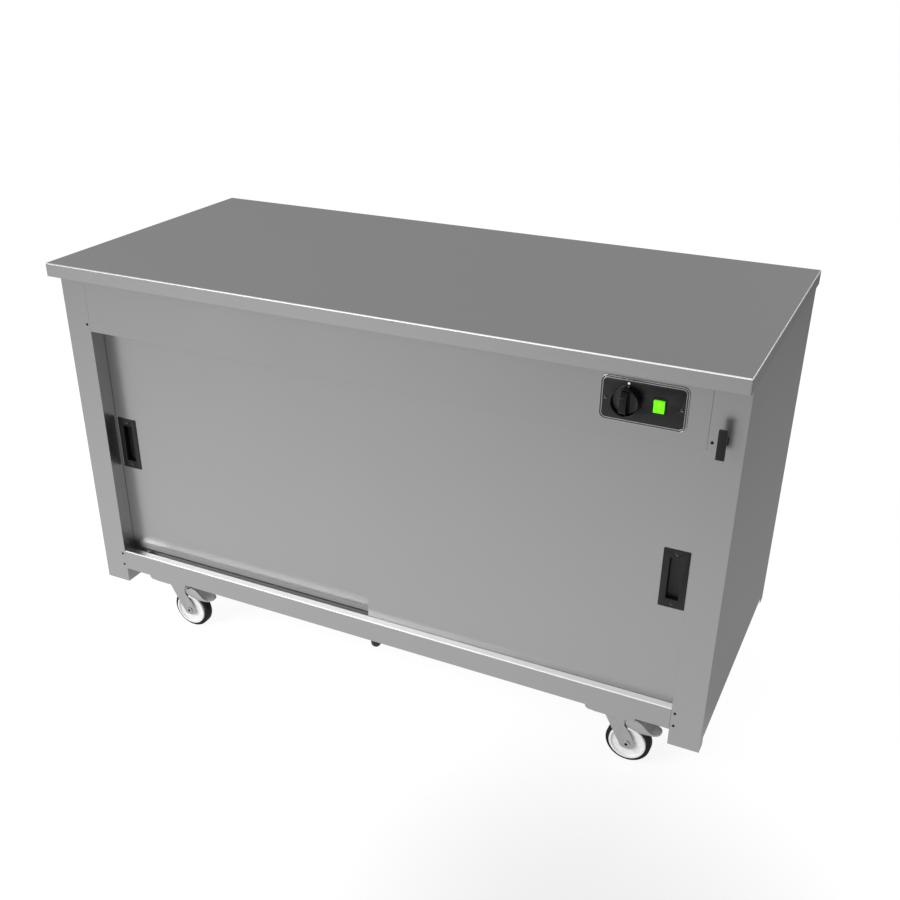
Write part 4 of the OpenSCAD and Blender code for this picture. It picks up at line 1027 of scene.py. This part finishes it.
class StageSettings(bpy.types.PropertyGroup):
    """Camera, lamps and room."""

    place: FloatVectorProperty(
        name="Camera", description="Where the camera stands", default=(1.0064, -2.0381, 1.5754),
        subtype="TRANSLATION",
    )
    tilt: number("Tilt", "How far the camera looks down", 0.498, subtype="ANGLE")
    turn: number("Turn", "How far the camera looks to the left", 0.46, subtype="ANGLE")
    lens: number("Lens", "Focal length in mm", 43.562, min=10, max=200)
    shift: FloatVectorProperty(
        name="Shift", description="The photograph's framing", size=2, default=(0.02454, 0.06298)
    )
    front: number("Front lamp", "Power in watts", 182, min=0)
    rim: number("Rim lamp", "Power in watts", 40, min=0)
    sky: number("Sky", "Strength of the room's light", 1.0, min=0)


class CUPBOARD_OT_stage(bpy.types.Operator):
    """Set up the pale floor, the soft room light, the lamps and the camera"""

    bl_idname = "cupboard.stage"
    bl_label = "Stage"

    def execute(self, context):
        stage = context.scene.cupboard_stage
        context.scene.view_settings.view_transform = "Standard"
        self.world(context, stage)
        self.floor()
        self.lamp("front_lamp", *FRONT_LAMP, stage.front)
        self.lamp("rim_lamp", *RIM_LAMP, stage.rim)
        data = bpy.data.cameras.new("camera")
        data.lens = stage.lens
        data.shift_x, data.shift_y = stage.shift
        camera = new_object("camera", data)
        camera.location = stage.place
        camera.rotation_euler = (math.pi / 2 - stage.tilt, 0, stage.turn)
        context.scene.camera = camera
        return {"FINISHED"}

    def lamp(self, name, place, aim, size, power):
        """A square soft lamp."""
        data = bpy.data.lights.new(name, "AREA")
        data.size = size
        data.energy = power
        thing = new_object(name, data)
        thing.location = place
        way = Vector(aim) - Vector(place)
        thing.rotation_euler = way.to_track_quat("-Z", "Y").to_euler()

    def world(self, context, stage):
        """White where the camera sees it; elsewhere a pale room, brighter low and in front."""
        world = bpy.data.worlds.new("pale_room")
        context.scene.world = world
        tree = empty_tree(world)
        way = add_node(tree, "ShaderNodeTexCoord").outputs["Generated"]
        facing, height = (
            add_node(tree, "ShaderNodeVectorMath", {"operation": "DOT_PRODUCT", 1: side}, {0: way})
            for side in (PALE_SIDE, WALL_UP)
        )
        strengths = [strength * stage.sky for strength in PALE_RANGE]
        pale = add_node(
            tree, "ShaderNodeMapRange", span(-1.0, 1.0, *strengths), {0: facing.outputs["Value"]}
        )
        wall = add_node(
            tree, "ShaderNodeMapRange", span(*WALL_HEIGHTS, *WALL_RANGE),
            {0: height.outputs["Value"]},
        )
        turned = add_node(tree, "ShaderNodeSeparateXYZ", links={0: way})
        behind = add_node(tree, "ShaderNodeMapRange", span(*WALL_EDGE), {0: turned.outputs[1]})
        dimmed = add_node(
            tree, "ShaderNodeMix", {"data_type": "FLOAT", 2: 1.0}, {0: behind, 3: wall},
        )
        shaded = add_node(tree, "ShaderNodeMath", {"operation": "MULTIPLY"}, {0: pale, 1: dimmed})
        room = add_node(tree, "ShaderNodeBackground", {"Color": WHITE}, {"Strength": shaded})
        white = add_node(tree, "ShaderNodeBackground", {"Color": WHITE, "Strength": 1.0})
        path = add_node(tree, "ShaderNodeLightPath").outputs
        seen = add_node(
            tree, "ShaderNodeMath", {"operation": "MAXIMUM"},
            {0: path["Is Camera Ray"], 1: path["Is Transmission Ray"]},
        )
        both = add_node(tree, "ShaderNodeMixShader", links={0: seen, 1: room, 2: white})
        add_node(tree, "ShaderNodeOutputWorld", links={0: both})

    def floor(self):
        """A white floor that shows to the camera and in the metal, and keeps a faint shadow."""
        bm = bmesh.new()
        bmesh.ops.create_grid(bm, x_segments=4, y_segments=4, size=30)
        floor = new_object("floor", mesh_of(bm, "floor"))
        material = bpy.data.materials.new("white_studio_floor")
        tree = empty_tree(material)
        path = add_node(tree, "ShaderNodeLightPath").outputs
        white = add_node(
            tree, "ShaderNodeMix", {"data_type": "FLOAT"},
            {0: path["Is Camera Ray"], 2: self.pool(tree), 3: self.shade(tree)},
        )
        glow = add_node(tree, "ShaderNodeEmission", {"Color": WHITE}, {"Strength": white})
        matt = add_node(tree, "ShaderNodeBsdfDiffuse", {"Color": (*[FLOOR_GREY] * 3, 1)})
        mirrored = add_node(
            tree, "ShaderNodeMath", {"operation": "MAXIMUM"},
            {0: path["Is Glossy Ray"], 1: path["Is Transmission Ray"]},
        )
        seen = add_node(
            tree, "ShaderNodeMath", {"operation": "MULTIPLY", 1: SEEN_GLOW},
            {0: path["Is Camera Ray"]},
        )
        total = add_node(
            tree, "ShaderNodeMath", {"operation": "MULTIPLY_ADD", 1: MIRRORED_GLOW},
            {0: mirrored, 2: seen},
        )
        both = add_node(tree, "ShaderNodeMixShader", links={0: total, 1: matt, 2: glow})
        add_node(tree, "ShaderNodeOutputMaterial", links={0: both})
        floor.data.materials.append(material)

    def pool(self, tree):
        """The strength of the mirrored floor, which fades with the square of the distance."""
        scale = (1 / POOL_REACH[0], 1 / POOL_REACH[1], 1)
        moved = (-POOL_CENTRE[0] * scale[0], -POOL_CENTRE[1] * scale[1], 0)
        distance = add_node(
            tree, "ShaderNodeVectorMath", {"operation": "LENGTH"},
            {0: object_place(tree, scale, moved)},
        ).outputs["Value"]
        spread = add_node(
            tree, "ShaderNodeMath", {"operation": "MULTIPLY_ADD", 2: 1.0},
            {0: distance, 1: distance},
        )
        pool = add_node(
            tree, "ShaderNodeMath", {"operation": "DIVIDE", 0: POOL_STRENGTH}, {1: spread},
        )
        depth = add_node(tree, "ShaderNodeSeparateXYZ", links={0: object_place(tree)})
        away = add_node(
            tree, "ShaderNodeMapRange",
            {"interpolation_type": "SMOOTHSTEP", **span(*DARK_DEPTHS, 1.0, DARK_SHARE)},
            {0: depth.outputs[1]},
        )
        return add_node(tree, "ShaderNodeMath", {"operation": "MULTIPLY"}, {0: pool, 1: away})

    def shade(self, tree):
        """The strength of the floor that the camera sees."""
        distance = add_node(
            tree, "ShaderNodeVectorMath", {"operation": "DISTANCE", 1: SHADE_CENTRE},
            {0: object_place(tree)},
        ).outputs["Value"]
        return add_node(
            tree, "ShaderNodeMapRange",
            {"interpolation_type": "SMOOTHSTEP", **span(0.0, SHADE_REACH, *SHADE_RANGE)},
            {0: distance},
        )


# Add-on


class CUPBOARD_PT_panel(bpy.types.Panel):
    """Lists the cupboard's steps and settings in the sidebar"""

    bl_idname = "CUPBOARD_PT_panel"
    bl_label = "Hot Cupboard"
    bl_space_type = "VIEW_3D"
    bl_region_type = "UI"
    bl_category = "Cupboard"

    def draw(self, context):
        for operator, settings, _ in STEPS:
            box = self.layout.box()
            box.operator(operator.bl_idname)
            group = getattr(context.scene, settings)
            for name in group.__annotations__:
                box.prop(group, name)


STEPS = (
    (CUPBOARD_OT_stage, "cupboard_stage", StageSettings),
    (CUPBOARD_OT_sheet_finishes, "cupboard_sheet", SheetSettings),
    (CUPBOARD_OT_fittings, "cupboard_fittings", FittingSettings),
    (CUPBOARD_OT_controls, "cupboard_controls", ControlSettings),
    (CUPBOARD_OT_castors, "cupboard_castors", CastorSettings),
    (CUPBOARD_OT_screws, "cupboard_screws", ScrewSettings),
    (CUPBOARD_OT_wool, "cupboard_wool", WoolSettings),
)
CLASSES = (*[step[2] for step in STEPS], *[step[0] for step in STEPS], CUPBOARD_PT_panel)


def register():
    for cls in CLASSES:
        bpy.utils.register_class(cls)
    for _, name, group in STEPS:
        setattr(bpy.types.Scene, name, PointerProperty(type=group))


def unregister():
    for _, name, _ in STEPS:
        delattr(bpy.types.Scene, name)
    for cls in reversed(CLASSES):
        bpy.utils.unregister_class(cls)


def main():
    """Runs every step in order."""
    register()
    for operator, _, _ in STEPS:
        family, name = operator.bl_idname.split(".")
        getattr(getattr(bpy.ops, family), name)()


if __name__ == "__main__":
    main()
